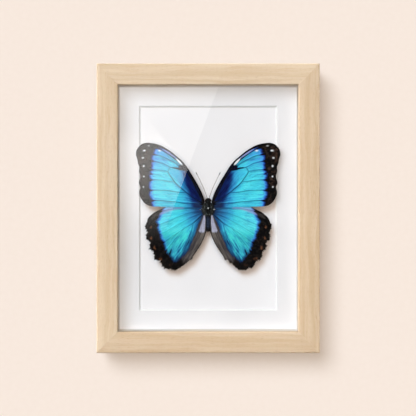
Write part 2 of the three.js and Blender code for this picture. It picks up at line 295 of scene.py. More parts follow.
class Finish:
    """A material that is built up node by node."""

    def __init__(self, name):
        self.material = bpy.data.materials.new(name)
        self.material.use_nodes = True
        self.tree = self.material.node_tree
        self.tree.nodes.clear()

    def node(self, kind, settings=None, sockets=None, out=0):
        """A new node's output. A socket holds a number, a vector, a colour or a wire; stops are a ramp's."""
        made = self.tree.nodes.new("ShaderNode" + kind)
        settings = dict(settings or {})
        stops = settings.pop("stops", None)
        for name, value in settings.items():
            setattr(made, name, value)
        if stops:
            for i, (where, colour) in enumerate(stops):
                stop = made.color_ramp.elements[i] if i < 2 else made.color_ramp.elements.new(where)
                stop.position, stop.color = where, colour
        for name, value in (sockets or {}).items():
            if isinstance(value, Wire):
                self.tree.links.new(value.socket, made.inputs[name])
            else:
                made.inputs[name].default_value = value
        return Wire(self, made.outputs[out]) if len(made.outputs) else None

    def mark(self, name):
        return self.node("Attribute", {"attribute_name": name}, out="Fac")

    def step(self, value, low, high):
        """0 below low, 1 above high, and a smooth rise between. With low above high it falls."""
        settings = {"interpolation_type": "SMOOTHSTEP"}
        if low > high:
            return 1 - self.node("MapRange", settings, {"Value": value, "From Min": high, "From Max": low})
        return self.node("MapRange", settings, {"Value": value, "From Min": low, "From Max": high})

    def mix(self, share, first, second, blend="MIX"):
        settings = {"data_type": "RGBA", "blend_type": blend, "clamp_factor": True}
        return self.node("Mix", settings, {0: share, 6: first, 7: second}, out=2)

    def noise(self, where, scale, detail=2.0, rough=0.5, flat=False):
        settings = {"noise_dimensions": "2D" if flat else "3D"}
        sockets = {"Vector": where, "Scale": scale, "Detail": detail, "Roughness": rough}
        return self.node("TexNoise", settings, sockets)

    def here(self):
        """The point's own place on the object, in metres."""
        return self.node("TexCoord", out="Object")

    def vector(self, x, y, z=0.0):
        return self.node("CombineXYZ", None, {0: x, 1: y, 2: z})

    def lay(self):
        """The two numbers of the piece's own map."""
        pair = self.node("UVMap", {"uv_map": "Lay"})
        return [self.node("SeparateXYZ", None, {0: pair}, out=k) for k in (0, 1)]

    def bump(self, height, reach, strength=1.0):
        """A normal tilted by a height from 0 to 1. reach is how high 1 is, in metres."""
        return self.node("Bump", None, {"Height": height, "Distance": reach, "Strength": strength})

    def end(self, shader):
        self.node("OutputMaterial", None, {"Surface": shader})
        return self.material

    def skin(self, colour, roughness, normal=None, **constants):
        """The usual ending: one Principled shader. Constants are set on its own sockets."""
        sockets = {"Base Color": colour, "Roughness": roughness}
        if normal is not None:
            sockets["Normal"] = normal
        sockets.update({name.replace("_", " "): value for name, value in constants.items()})
        return self.end(self.node("BsdfPrincipled", None, sockets))


# %% [markdown]
# ## The wall and the floor
# The frame hangs on a cream wall, high above a pale floor. The wall can be seen from the front only:
# from behind, the eye and the light pass through it, so that the back of the frame can be looked at.
# A faint pale sky lies over everything. The lamps come at the end.


# %% Stage
def stage_plane(name, corners, material):
    mesh = bpy.data.meshes.new(name)
    mesh.from_pydata([tuple(corner) for corner in corners], [], [tuple(range(len(corners)))])
    mesh.materials.append(material)
    thing = bpy.data.objects.new(name, mesh)
    bpy.context.scene.collection.objects.link(thing)
    return thing


def wall_finish():
    wall = Finish("cream_wall")
    grain = wall.noise(wall.here(), 260.0, detail=3.0)
    colour = wall.mix(grain, tone(250, 237, 226), tone(254, 242, 232))
    paint = wall.node("BsdfPrincipled", None, {"Base Color": colour, "Roughness": 0.9})
    unseen = wall.node("BsdfTransparent")
    behind = wall.node("NewGeometry", out="Backfacing")
    return wall.end(wall.node("MixShader", None, {0: behind, 1: paint, 2: unseen}))


def floor_finish():
    floor = Finish("pale_floor")
    cloud = floor.noise(floor.here(), 3.0)
    return floor.skin(floor.mix(cloud, tone(238, 232, 224), tone(244, 238, 230)), 0.8)


WALL_GAP = 0.0004
WALL_REACH = 3.0
FLOOR_DROP = 0.6
wall_y = cad_box[1][1] + WALL_GAP
floor_z = MIDDLE.z - FLOOR_DROP
wall = stage_plane(
    "wall",
    [(-WALL_REACH, wall_y, floor_z), (WALL_REACH, wall_y, floor_z),
     (WALL_REACH, wall_y, WALL_REACH), (-WALL_REACH, wall_y, WALL_REACH)],
    wall_finish(),
)
wall.visible_shadow = wall.visible_diffuse = False
floor = stage_plane(
    "floor",
    [(-WALL_REACH, -WALL_REACH, floor_z), (WALL_REACH, -WALL_REACH, floor_z),
     (WALL_REACH, WALL_REACH, floor_z), (-WALL_REACH, WALL_REACH, floor_z)],
    floor_finish(),
)
floor.visible_diffuse = floor.visible_shadow = False

SKY = (1.0, 0.95, 0.9)
SKY_STRENGTH = 0.1
world = bpy.data.worlds.new("studio")
world.use_nodes = True
world.node_tree.nodes["Background"].inputs["Color"].default_value = (*SKY, 1)
world.node_tree.nodes["Background"].inputs["Strength"].default_value = SKY_STRENGTH
bpy.context.scene.world = world

# %% [markdown]
# ## What the glass mirrors
# Glass is only seen by what it mirrors. Straight in front of it is a dark studio, with one bright
# screen whose edge slants, so that a pale veil lies over the upper left of the pane and ends on a
# slanting line. Both are cards that only reflections can see. A mirrored point lies twice as far
# from the axis as the spot on the glass where it shows.

# %% Cards
SCREEN_EDGE = [(7.6, 93.8), (-26.4, 2.0)]
SCREEN_TOP, SCREEN_FOOT, SCREEN_LEFT = 130.0, -34.0, -110.0
SCREEN_BAND = (44.0, 66.0)
SCREEN_LIGHT = 2.4
FLAG_REACH = 330.0


def card(name, corners, distance, material):
    """A card at a distance in front of the glass, given by where its corners show on the glass."""
    spread = 1 + distance / CAMERA_DISTANCE
    thing = stage_plane(name, [place(x * spread, -distance, h * spread) for x, h in corners], material)
    thing.visible_camera = thing.visible_diffuse = thing.visible_shadow = False


def screen_finish():
    """Brightest over the left wing, dimmer above it and past its leading edge, fading out towards the foot."""
    screen = Finish("bright_screen")
    spot = screen.here()
    x = screen.node("SeparateXYZ", None, {0: spot}) / (2 * MM)
    h = (screen.node("SeparateXYZ", None, {0: spot}, out=2) - MIDDLE.z) / (2 * MM)
    past_wing = screen.step(x + 0.9 * h, 9.4, 16.4) * 0.6
    fall = 1 - (screen.step(h, *SCREEN_BAND) * 0.5 | past_wing)
    strength = screen.step(h, SCREEN_FOOT, SCREEN_BAND[0]) * fall * SCREEN_LIGHT
    return screen.end(screen.node("Emission", None, {"Color": (1.0, 0.96, 0.92, 1), "Strength": strength}))


def flag_finish():
    flag = Finish("dark_flag")
    return flag.end(flag.node("Emission", None, {"Color": (0.02, 0.02, 0.02, 1), "Strength": 1.0}))


(top_x, top_h), (low_x, low_h) = SCREEN_EDGE
slant = (top_x - low_x) / (top_h - low_h)
edge_at = [(top_x + slant * (h - top_h), h) for h in (SCREEN_TOP, SCREEN_FOOT)]
card("bright_screen", [*edge_at, (SCREEN_LEFT, SCREEN_FOOT), (SCREEN_LEFT, SCREEN_TOP)],
     CAMERA_DISTANCE, screen_finish())
card("dark_flag", [(-FLAG_REACH, -FLAG_REACH), (FLAG_REACH, -FLAG_REACH),
                   (FLAG_REACH, FLAG_REACH), (-FLAG_REACH, FLAG_REACH)], CAMERA_DISTANCE * 1.05, flag_finish())

# %% [markdown]
# ## Pale wood
# The rails are a light, straight-grained wood under a matt lacquer. Grain is the same in every cut
# along a rail and changes quickly across it, so the noise is stretched along the rail's own map:
# wide soft bands, fine fibres, and short dark pores. Each rail has its own stretch of wood. The right and
# bottom rails are also painted darker, and the left one slightly: painted shade on the sides turned from the light.


# %% Wood
def wood_finish(name, number, shade):
    """number picks the stretch of wood, and shade from 0 to 1 darkens it as painted shade."""
    wood = Finish(name)
    along, around = wood.lay()
    along = along + 7.3 * number
    drift = wood.noise(wood.vector(along * 3.0, around * 9.0), 1.0, flat=True)
    across = around + (drift - 0.5) * 0.05
    bands = wood.noise(wood.vector(along * 0.9, across * 28.0), 1.0, detail=2.0, flat=True)
    fibres = wood.noise(wood.vector(along * 5.0, across * 190.0), 1.0, detail=2.0, flat=True)
    pores = wood.noise(wood.vector(along * 26.0, across * 420.0), 1.0, detail=1.0, flat=True)
    light = wood.mix(wood.step(bands, 0.3, 0.7), tone(209, 185, 153), tone(218, 197, 169))
    lined = wood.mix(wood.step(fibres, 0.5, 0.74) * 0.4, light, tone(203, 171, 133))
    pored = wood.mix(wood.step(pores, 0.62, 0.8) * 0.4, lined, tone(172, 138, 102))
    # Painted shade: the whole rail is multiplied towards a tan as far as shade says.
    colour = wood.mix(shade, pored, tone(225, 200, 175), blend="MULTIPLY")
    relief = fibres * 0.5 + (1 - wood.step(pores, 0.6, 0.8)) * 0.5
    return wood.skin(colour, 0.55 + (fibres - 0.5) * 0.2, wood.bump(relief, 0.00006), Specular_IOR_Level=0.2)


# %% [markdown]
# ## The four rails
# A rail is one section run along a straight line: a flat face, a lip over the glass, a rebate behind
# it and slightly rounded long edges. Its ends are mitred, so a point's end lies as far in as the
# point is from the rail's outer edge. A hair's width is taken off at each end to show the joint.

# %% Rails
FACE = 16.4
LIP, LIP_DEPTH = 5.0, 8.0
ROUNDING = 0.8
MITRE_EASE = 0.1
LAY_UNIT = 100.0


def rounded_corner(across, deep, radius, start, count=7):
    turn = np.radians(np.linspace(start, start + 90, count))
    return np.stack([across + radius * np.cos(turn), deep + radius * np.sin(turn)], -1)


def rail_section():
    """The L section as points: across from the outer edge, and depth behind the front."""
    r, fine = ROUNDING, 0.25
    return np.concatenate([
        rounded_corner(r, r, r, 180),
        rounded_corner(FACE - r, r, r, 270),
        rounded_corner(FACE - fine, LIP_DEPTH - fine, fine, 0, 4),
        [[FACE - LIP, LIP_DEPTH]],
        rounded_corner(FACE - LIP - fine, FRAME_DEPTH - fine, fine, 0, 4),
        rounded_corner(fine, FRAME_DEPTH - fine, fine, 90, 4),
    ])


def rail_shell(reach, half_length, turn):
    """Rows run along the rail and columns round the section. The end rows draw in to close it."""
    section = rail_section()
    section = np.concatenate([section, section[:1]])
    run = np.concatenate([[0], np.cumsum(np.linalg.norm(np.diff(section, axis=0), axis=1))])
    centre = section.mean(0)
    eased = centre + (section - centre) * (1 - MITRE_EASE / FACE)
    end = half_length - section[:, 0]
    rings = [
        (centre + 0 * section, -(half_length - centre[0]) + 0 * end),
        (eased, -end), (section, -end + MITRE_EASE), (section, -end * 0.5), (section, end * 0),
        (section, end * 0.5), (section, end - MITRE_EASE), (eased, end),
        (centre + 0 * section, (half_length - centre[0]) + 0 * end),
    ]
    across = np.stack([ring[:, 0] for ring, _ in rings])
    deep = np.stack([ring[:, 1] for ring, _ in rings])
    along = np.stack([where for _, where in rings])
    x, h = along, reach - across
    flipped = {0: (x, h), 1: (h, -x), 2: (-x, -h), 3: (-h, x)}[turn]
    uv = np.stack([along / LAY_UNIT, np.broadcast_to(run / LAY_UNIT, along.shape)], -1)
    return grid(place(flipped[0], deep, flipped[1]), uv=uv)


# Painted shade: the right and bottom rails are painted a little darker and the left one very slightly, as if turned
# from the light above left.
RAILS = {"rail_top": (0, 0.0), "rail_right": (1, 0.5), "rail_bottom": (2, 0.55), "rail_left": (3, 0.08)}
rails = {}
for name, (turn, shade) in RAILS.items():
    half = (OUTER_WIDTH, OUTER_HEIGHT) if turn % 2 == 0 else (OUTER_HEIGHT, OUTER_WIDTH)
    shell = rail_shell(half[1] / 2, half[0] / 2, turn)
    wood = wood_finish(name + "_wood", turn + 1, shade * 0.35)
    rails[name] = make_piece(name, shell, [wood], [name], sharp=25)
    rails[name].visible_diffuse = False

# %% [markdown]
# ## Glass
# A pane lets light through to what lies behind it. A path tracer takes glass for a solid in front of
# a lamp, so rays from lamps, and those that light bounces on, meet a clear film instead.


# %% Glass
def glass_finish():
    glass = Finish("clear_glass")
    pane = glass.node("BsdfPrincipled", None, {
        "Base Color": (0.985, 0.995, 0.99, 1), "Roughness": 0.0, "IOR": 1.5, "Transmission Weight": 1.0,
    })
    film = glass.node("BsdfTransparent")
    bounced = glass.node("MixShader", None, {0: glass.node("LightPath", out="Is Diffuse Ray"), 1: pane, 2: film})
    return glass.end(glass.node("MixShader", None, {
        0: glass.node("LightPath", out="Is Shadow Ray"), 1: bounced, 2: film,
    }))


def give(names, material):
    """Puts a finish on pieces of the construction whose shape is right as it is."""
    for name in names:
        nodes[name].material_slots[0].material = material


give(["glass_pane"], glass_finish())

# %% [markdown]
# ## Boards
# The mat, the board behind it and the spacers are white paper board: a fine tooth all over and faint
# clouds. The mat's sloping edges show its whiter core. The back panel is brown hardboard, with felted
# fibres in darker and lighter flecks.


# %% Boards
def board_finish(name, face, core):
    """Paper board. Where a face slopes, neither square to the view nor edge on, the core shows."""
    board = Finish(name)
    here = board.here()
    tooth = board.noise(here, 2600.0, detail=3.0, rough=0.6)
    cloud = board.noise(here, 28.0, detail=3.0)
    tint = board.mix(board.step(cloud, 0.3, 0.7) * 0.5, face, tone(236, 234, 235))
    slope = board.node("SeparateXYZ", None, {0: board.node("NewGeometry", out="True Normal")}, out=1)
    sloping = board.step(slope * -1, 0.3, 0.5) * board.step(slope * -1, 0.95, 0.8)
    return board.skin(board.mix(sloping, tint, core), 0.9, board.bump(tooth, 0.00003, 0.6))


def hardboard_finish():
    panel = Finish("brown_hardboard")
    here = panel.here()
    felt = panel.noise(here, 700.0, detail=4.0, rough=0.7)
    fleck = panel.noise(here, 2200.0, detail=2.0)
    cloud = panel.noise(here, 22.0, detail=3.0)
    brown = panel.mix(panel.step(cloud, 0.3, 0.7), tone(139, 104, 72), tone(154, 118, 84))
    felted = panel.mix(panel.step(felt, 0.42, 0.62) * 0.6, tone(108, 78, 52), brown)
    flecked = panel.mix(panel.step(fleck, 0.64, 0.74) * 0.5, felted, tone(188, 156, 118))
    return panel.skin(flecked, 0.72, panel.bump(felt, 0.00012, 0.6))


give(["mat_board"], board_finish("white_mat", tone(245, 243, 244), tone(253, 253, 252)))
give(["backing_board"], board_finish("white_backing", tone(243, 241, 242), tone(243, 241, 242)))
give(["spacer_top", "spacer_bottom", "spacer_left", "spacer_right"],
     board_finish("white_spacer", tone(228, 216, 202), tone(228, 216, 202)))
give(["back_panel"], hardboard_finish())

# %% [markdown]
# ## Steel behind
# The tongues, the hanger, its tacks and the corner nails are zinc-plated sheet: grey, with faint
# rolling lines and cloudy patches of zinc.


# %% Steel
def steel_finish(name, light):
    steel = Finish(name)
    here = steel.here()
    rolled = steel.node("Mapping", None, {"Vector": here, "Scale": (1.0, 1.0, 14.0)})
    lines = steel.noise(rolled, 260.0, detail=3.0)
    patch = steel.noise(here, 420.0, detail=2.0)
    colour = steel.mix(patch, tone(*(light - 26,) * 3), tone(light, light + 1, light + 3))
    return steel.skin(colour, 0.3 + lines * 0.2, steel.bump(lines, 0.00002, 0.5), Metallic=0.55)


zinc = steel_finish("zinc_steel", 196)
give([name for name in nodes if name.startswith(("tab_", "hanger_tack", "sawtooth"))], zinc)
give([name for name in nodes if name.startswith("corner_nail")], zinc)

# %% [markdown]
# ## Where is a point, seen from a line?
# A wing's pattern is a matter of distances: to its veins, to the edge of its blue field, to its
# spots. So two helpers measure them for a whole wing at once, and a third turns a distance into a
# soft-edged stroke like that of a brush whose width changes on its way.


# %% Distances
def away_from(path, x, h):
    """For each place, its distance from a path of points, and how far along the path that is, 0 to 1."""
    path = np.asarray(path, float)
    start, step = path[:-1], np.diff(path, axis=0)
    gap_x = x[..., None] - start[:, 0]
    gap_h = h[..., None] - start[:, 1]
    share = np.clip((gap_x * step[:, 0] + gap_h * step[:, 1]) / (step**2).sum(1), 0, 1)
    gap = np.hypot(gap_x - share * step[:, 0], gap_h - share * step[:, 1])
    nearest = gap.argmin(-1)[..., None]
    along = (nearest + np.take_along_axis(share, nearest, -1)) / len(step)
    return gap.min(-1), along[..., 0]


def smoothed(value, low, high):
    """0 below low, 1 above high, and 3w² - 2w³ between. With low above high it falls."""
    w = np.clip((value - low) / (high - low), 0, 1)
    return w * w * (3 - 2 * w)


def stroke(points, widths, soft, x, h):
    """1 inside a brush stroke through the points, fading to 0 over a soft edge outside its half width."""
    gap, along = away_from(smooth_curve(points, 24), x, h)
    half = np.interp(along, np.linspace(0, 1, len(widths)), widths)
    return smoothed(gap - half, soft, 0)


def inside(polygon, x, h):
    """True where a place lies in a polygon: a line to the right crosses its sides an odd number of times."""
    first, second = np.asarray(polygon, float), np.roll(np.asarray(polygon, float), -1, axis=0)
    crosses = (first[:, 1] > h[..., None]) != (second[:, 1] > h[..., None])
    rise = second[:, 1] - first[:, 1]
    rise = np.where(rise == 0, 1e-9, rise)
    at = first[:, 0] + (h[..., None] - first[:, 1]) * (second[:, 0] - first[:, 0]) / rise
    return (crosses & (x[..., None] < at)).sum(-1) % 2 == 1


def outside_by(polygon, x, h):
    """How far outside a closed smooth outline each place is, negative inside."""
    curve = smooth_curve([*polygon, polygon[0]], 160)
    gap, _ = away_from(curve, x, h)
    return np.where(inside(curve[:-1], x, h), -gap, gap)


def ripples(x, h, seed, wave, count=7):
    """A gentle unevenness from -1 to 1: a few waves of about one length, in scattered directions."""
    draw = np.random.default_rng(seed)
    angle, phase = draw.uniform(0, 2 * np.pi, (2, count))
    length = wave * draw.uniform(0.7, 1.5, count)
    turn = (x[..., None] * np.cos(angle) + h[..., None] * np.sin(angle)) * 2 * np.pi / length
    return np.sin(turn + phase).sum(-1) / count * 1.6


# %% [markdown]
# ## The forewing's plan
# A forewing is a membrane stretched on ribs. Its outline runs up the stiff leading edge, round the
# apex, down a gently scalloped margin and back along the trailing edge. All lists are millimetres
# across from the body's axis and up from the frame's middle, for the right wing. The left mirrors it.

# %% Forewing lists
FORE_ROOT = (3.0, 3.0)
FORE_LEADING = [(2.7, 5.4), (4.2, 10.4), (8.0, 18.2), (12.7, 26.1), (17.7, 33.9), (20.7, 37.3), (25.3, 41.3),
                (29.2, 44.5), (33.2, 47.1), (36.9, 49.1), (40.8, 50.4), (44.8, 51.1), (48.7, 51.3),
                (52.0, 50.3), (54.8, 47.8), (56.5, 44.6), (56.7, 41.6)]
FORE_MARGIN = [(56.7, 41.6), (55.8, 39.2), (55.0, 35.0), (54.0, 32.0), (54.3, 29.2), (53.2, 24.9), (54.4, 20.0),
               (53.3, 16.0), (54.1, 13.2), (53.3, 8.8), (52.2, 6.9), (49.9, 3.9), (46.6, 2.0), (42.6, 1.3)]
FORE_TRAILING = [(42.6, 1.3), (33.7, 1.1), (17.6, 0.7), (7.0, 0.3), (3.0, 0.3)]
FORE_FIELD = [(4.6, 4.5), (6.6, 12.0), (11.0, 20.4), (16.8, 30.8), (22.2, 37.2), (26.4, 41.2), (30.8, 44.8),
              (35.0, 47.4), (38.8, 48.2), (41.9, 46.8), (43.0, 43.8), (44.7, 41.2), (44.8, 37.5), (44.9, 33.0), (46.0, 29.2),
              (46.7, 25.6), (46.2, 22.2), (46.8, 18.4), (46.4, 14.4), (46.8, 10.6), (45.0, 6.6), (44.6, 3.0),
              (43.0, -3.0), (20.0, -3.5), (5.0, -3.0)]
FORE_NAVY = [(18.0, 33.0), (18.1, 26.0), (17.8, 21.6), (16.8, 17.6), (15.3, 14.2), (13.7, 10.0), (12.7, 6.6),
             (11.8, 3.3), (10.0, -1.0), (1.0, -2.0), (-1.0, 6.0), (5.0, 24.0), (13.0, 36.0)]
CELL_FLOOR = [(3.6, 3.8), (7.5, 5.6), (12.4, 8.7), (16.4, 11.5), (20.0, 14.7), (23.2, 17.3), (25.7, 19.9),
              (28.1, 23.2), (30.5, 26.4), (31.7, 28.6)]
RADIAL = [(3.4, 4.6), (8.6, 13.6), (13.0, 22.6), (18.0, 30.0), (22.0, 35.2), (26.4, 38.9), (31.5, 42.4),
          (37.0, 45.9), (44.0, 48.8)]
FORE_VEINS = {
    "leading": ([(3.3, 5.6), (8.5, 17.4), (13.2, 25.6), (18.0, 33.4), (21.0, 36.8), (29.4, 44.0), (40.8, 49.8)],
                0.34),
    "radial": (RADIAL, 0.13),
    "first": ([(21.6, 31.9), (26.8, 36.2), (32.1, 38.8), (37.7, 41.2), (42.9, 42.2), (49.0, 44.2), (55.6, 45.6)],
              0.2),
    "second": ([(22.5, 30.9), (26.5, 31.2), (29.6, 32.2), (34.9, 34.8), (39.7, 36.2), (44.1, 37.1), (50.0, 38.0),
                (55.2, 38.8)], 0.2),
    "cell_end": ([(29.6, 32.2), (30.9, 30.6), (31.7, 28.8)], 0.24),
    "third": ([(31.7, 28.8), (35.7, 29.5), (39.7, 30.0), (44.9, 30.2), (54.0, 29.9)], 0.18),
    "fold": ([(36.5, 25.6), (41.7, 26.6), (45.3, 27.0)], 0.1),
    "cell_floor": (CELL_FLOOR, 0.3),
    "fourth": ([(27.0, 21.2), (31.7, 21.2), (35.7, 21.9), (44.9, 22.2), (53.8, 21.6)], 0.18),
    "fifth": ([(17.6, 12.4), (22.0, 12.5), (25.7, 12.9), (31.7, 13.9), (37.7, 14.1), (45.3, 14.1), (53.5, 13.8)],
              0.2),
    "last": ([(3.6, 2.7), (6.8, 3.4), (12.8, 4.0), (20.0, 4.0), (23.6, 4.7), (31.7, 5.5), (39.7, 6.1), (45.3, 6.1),
              (52.4, 6.8)], 0.22),
}
FORE_RAYS = [
    FORE_TRAILING[::-1], FORE_VEINS["last"][0], CELL_FLOOR[:4] + FORE_VEINS["fifth"][0][1:],
    CELL_FLOOR[:7] + FORE_VEINS["fourth"][0][1:], CELL_FLOOR + FORE_VEINS["third"][0][1:],
    RADIAL[:4] + FORE_VEINS["second"][0][1:], RADIAL[:4] + FORE_VEINS["first"][0][1:], RADIAL, FORE_LEADING,
]
FORE_SPOTS = [
    ((46.6, 49.0), (0.8, 0.42), 0.66), ((50.2, 45.2), (1.15, 0.64), 1.0), ((51.3, 39.5), (0.9, 0.54), 0.95),
    ((50.6, 33.1), (0.66, 0.78), 1.0), ((50.5, 24.9), (0.56, 0.64), 0.95), ((50.8, 16.7), (0.52, 0.6), 0.9),
    ((38.1, 45.2), (1.1, 0.64), 1.0),
]

# %% [markdown]
# ## The hindwing's plan
# The hindwing tucks under the forewing and folds down along the body. Its margin is ragged: a row of
# blunt teeth, one at the end of each vein, with smaller steps between them.

# %% Hindwing lists
HIND_ROOT = (3.0, -3.4)
HIND_LEADING = [(3.0, -0.6), (11.0, 1.8), (20.1, 2.4), (28.0, 2.1), (33.6, 0.6), (38.9, -1.6), (42.4, -3.3),
                (44.8, -5.3), (46.6, -6.9), (47.7, -8.5)]
HIND_MARGIN = [(47.7, -8.5), (48.6, -11.9), (49.6, -14.0), (49.4, -15.6), (48.2, -16.3), (48.5, -17.4),
               (47.9, -19.1), (48.8, -22.3), (48.4, -24.1), (46.7, -25.8), (45.7, -28.2), (45.9, -31.0),
               (45.1, -32.5), (43.5, -33.1), (42.3, -36.2), (42.7, -38.9), (41.1, -40.8), (39.2, -41.4),
               (36.8, -44.0), (35.9, -46.2), (34.2, -47.1), (31.9, -47.2), (30.6, -47.9), (28.1, -48.5),
               (26.0, -48.6), (23.5, -47.3), (21.2, -45.9), (19.0, -44.2), (16.9, -42.8), (15.3, -40.7),
               (13.7, -40.9), (12.3, -38.4)]
HIND_TRAILING = [(12.3, -38.4), (9.2, -34.0), (5.1, -27.4), (2.4, -21.2), (1.5, -18.2), (1.9, -14.0), (2.2, -9.0),
                 (2.6, -5.6)]
HIND_FIELD = [(3.4, -4.6), (2.0, 3.0), (20.0, 5.0), (33.0, 4.0), (36.6, -1.5), (38.4, -4.9), (39.3, -7.3),
              (40.4, -8.9), (41.7, -10.4), (40.6, -12.0), (40.4, -15.4), (39.4, -18.1), (38.3, -21.5),
              (37.6, -24.4), (35.8, -26.3), (35.1, -28.8), (34.0, -31.5), (33.0, -34.8), (31.4, -36.0),
              (29.8, -37.8), (28.2, -40.2), (26.6, -42.8), (24.6, -41.8), (22.2, -39.7), (18.8, -36.7),
              (15.0, -31.5), (12.7, -25.2), (10.1, -18.8), (7.6, -12.4), (5.8, -8.6)]
HIND_VEINS = {
    "leading": ([(4.0, -1.4), (12.0, -0.2), (20.0, -0.4), (31.0, -1.0), (38.0, -3.2), (44.5, -7.4), (48.2, -12.4)],
                0.18),
    "upper": ([(4.6, -3.0), (11.9, -3.1), (18.6, -4.8), (30.0, -9.6), (39.0, -13.2), (48.0, -17.0)], 0.14),
    "middle": ([(4.6, -3.8), (10.0, -5.8), (17.5, -9.4), (27.0, -14.6), (37.0, -20.4), (47.8, -24.4)], 0.12),
    "main": ([(3.9, -4.8), (8.0, -8.4), (12.2, -12.0), (18.6, -15.8), (26.0, -20.6), (35.5, -27.4), (44.8, -32.2)],
             0.2),
    "forked": ([(18.6, -15.8), (22.6, -20.4), (28.4, -27.6), (34.5, -35.4), (41.0, -40.6)], 0.13),
    "inner": ([(12.2, -12.0), (12.7, -16.1), (14.8, -22.2), (19.4, -31.2), (24.8, -40.0), (30.0, -47.4)], 0.16),
    "anal": ([(3.4, -5.2), (6.6, -12.6), (9.6, -20.6), (13.4, -30.0), (19.0, -39.4), (22.6, -46.4)], 0.14),
}
HIND_RAYS = [
    HIND_TRAILING[::-1], HIND_VEINS["anal"][0], HIND_VEINS["main"][0][:3] + HIND_VEINS["inner"][0][1:],
    HIND_VEINS["main"][0][:4] + HIND_VEINS["forked"][0][1:], HIND_VEINS["main"][0], HIND_VEINS["middle"][0],
    HIND_VEINS["upper"][0], HIND_VEINS["leading"][0], HIND_LEADING,
]

# %% [markdown]
# ## Growing a membrane
# A wing is star-shaped about its root, so one formula fills its outline: a point is the root plus a
# share u of the way to the outline's point v. The front and the back of the membrane lie a tenth of
# a millimetre apart and meet at every edge. The tips rise towards the glass, the skin dips between
# its ribs, and each rib is a fine tube on top of it.

# %% Membrane
MEMBRANE = 0.14
FORE_MIDDLE = sum(depth_of("forewing_right")) / 2
HIND_MIDDLE = sum(depth_of("hindwing_right")) / 2


def membrane_depth(x, h, middle, veins, seed):
    """Depth of a wing's front: it rises by the square of the distance from the body, dips by 0.16 mm
    between its veins, and ripples slightly."""
    reach = np.hypot(x, h - 2.0)
    nearest = np.min([away_from(smooth_curve(path, 20), x, h)[0] for path, _ in veins.values()], 0)
    dip = 0.16 * (1 - np.exp(-((nearest / 1.1) ** 2)))
    return middle - 0.9 * (reach / 60) ** 2 + dip + 0.14 * ripples(x, h, seed, 16) * (reach / 60)


def ragged(curve, size, seed):
    """Moves a margin in and out by small uneven steps, none at its two ends."""
    share = np.linspace(0, 1, len(curve))
    slope = np.gradient(curve, axis=0)
    out = np.stack([-slope[:, 1], slope[:, 0]], -1) / np.linalg.norm(slope, axis=1, keepdims=True)
    waves = [(0.7, 0.043), (1.1, 0.02), (0.9, 0.011)]
    steps = sum(high * ripples(share, 0 * share, seed, wave) for high, wave in waves)
    return curve + out * (size * steps * np.sin(np.pi * share) ** 0.3)[:, None]


def fan(root, outline, steps):
    """Places x, h (steps by points): root + u (outline - root), with u from 0 to 1."""
    u = np.linspace(0, 1, steps)[:, None]
    return root[0] + u * (outline[:, 0] - root[0]), root[1] + u * (outline[:, 1] - root[1]), u


def past_rays(rays, root, x, h):
    """Which cell of the wing a place lies in: how many rays it is past, going round the root, plus
    the share of the way to the next. Lines on which this is constant run like the veins."""
    reach, angle = np.hypot(x - root[0], h - root[1]), np.arctan2(h - root[1], x - root[0])
    turned = []
    for ray in rays:
        gap = smooth_curve(ray, 60) - root
        turned.append(np.interp(reach, np.maximum.accumulate(np.hypot(*gap.T)), np.arctan2(gap[:, 1], gap[:, 0])))
    turned = np.stack(turned)
    return np.clip((angle - turned[:-1]) / np.maximum(np.diff(turned, axis=0), 0.01), 0, 1).sum(0)


def vein_tubes(veins, side, depth_at):
    """Each vein as a thin tube that sits on the membrane and tapers to its outer end."""
    shells = []
    for path, width in veins.values():
        line = smooth_curve(path, 44)
        share = np.linspace(0, 1, 44)
        radius = width / 2 * (1 - 0.5 * share) * np.minimum(1, np.minimum(share, 1 - share) * 25)
        deep = depth_at(line[:, 0], line[:, 1]) - radius * 0.3
        shells.append((line, tube(place(side * line[:, 0], deep, line[:, 1]), radius * MM, 6, (0, 1, 0),
                                  rib=np.ones(44))))
    return shells


def wing_shell(root, outline, steps, side, depth_at, marks_at, veins, rays):
    """The closed membrane, front and back, with its marks, its map (cell, reach) and its ribs. A rib
    takes the marks of the membrane below it."""
    x, h, u = fan(root, outline, steps)
    v = np.linspace(0, 1, len(outline))[None, :]
    front = depth_at(x, h)
    edge = np.minimum(np.minimum(1 - u, u) * 12, np.minimum(v, 1 - v) * 40).clip(0, 1)
    back = front + MEMBRANE * np.sqrt(edge)
    uv = np.stack([past_rays(rays, root, x, h), np.hypot(x - root[0], h - root[1]) / LAY_UNIT], -1)
    marks = marks_at(x, h)
    skin = [
        grid(place(side * x, front, h), uv=uv, **marks),
        grid(place(side * x, back, h), uv=uv, under=np.ceil(edge), **marks),
    ]
    for line, rib in vein_tubes(veins, side, depth_at):
        below = marks_at(line[:, 0], line[:, 1])
        around = len(rib["points"]) // len(line)
        rib["marks"].update({name: np.repeat(mark, around) for name, mark in below.items()})
        skin.append(rib)
    return together(skin)


# %% [markdown]
# ## Marks of the forewing
# The pattern is told by a few numbers at each point: how far it is outside the blue field, how
# bright the blue is there, how white a spot. The finish turns them into colours and adds what is
# finer than the mesh. Where a vein meets the dark border, the border reaches in along it as a prong.


# %% Forewing marks
def spot_marks(spots, x, h):
    """The strongest of several soft oval spots."""
    strength = np.zeros_like(x)
    for (at_x, at_h), (wide, high), light in spots:
        away = np.hypot((x - at_x) / wide, (h - at_h) / high)
        strength = np.maximum(strength, light * smoothed(away, 1.45, 0.5))
    return strength


def vein_marks(veins, field, x, h, length, width, blur=0.6):
    """A line of shade along each vein, and how far the border reaches in along them: a prong of a
    length inside the field, whose width falls off as a bell curve."""
    line, prong = np.zeros_like(x), np.zeros_like(x)
    for path, thick in veins.values():
        gap, _ = away_from(smooth_curve(path, 30), x, h)
        line = np.maximum(line, (thick / 0.27) * smoothed(gap, blur, 0.14))
        prong = np.maximum(prong, length * np.exp(-((gap / width) ** 2)))
    return line * (0.85 + 0.35 * smoothed(field, -9.0, -1.0)), prong * smoothed(field, -length * 1.6, -0.2)


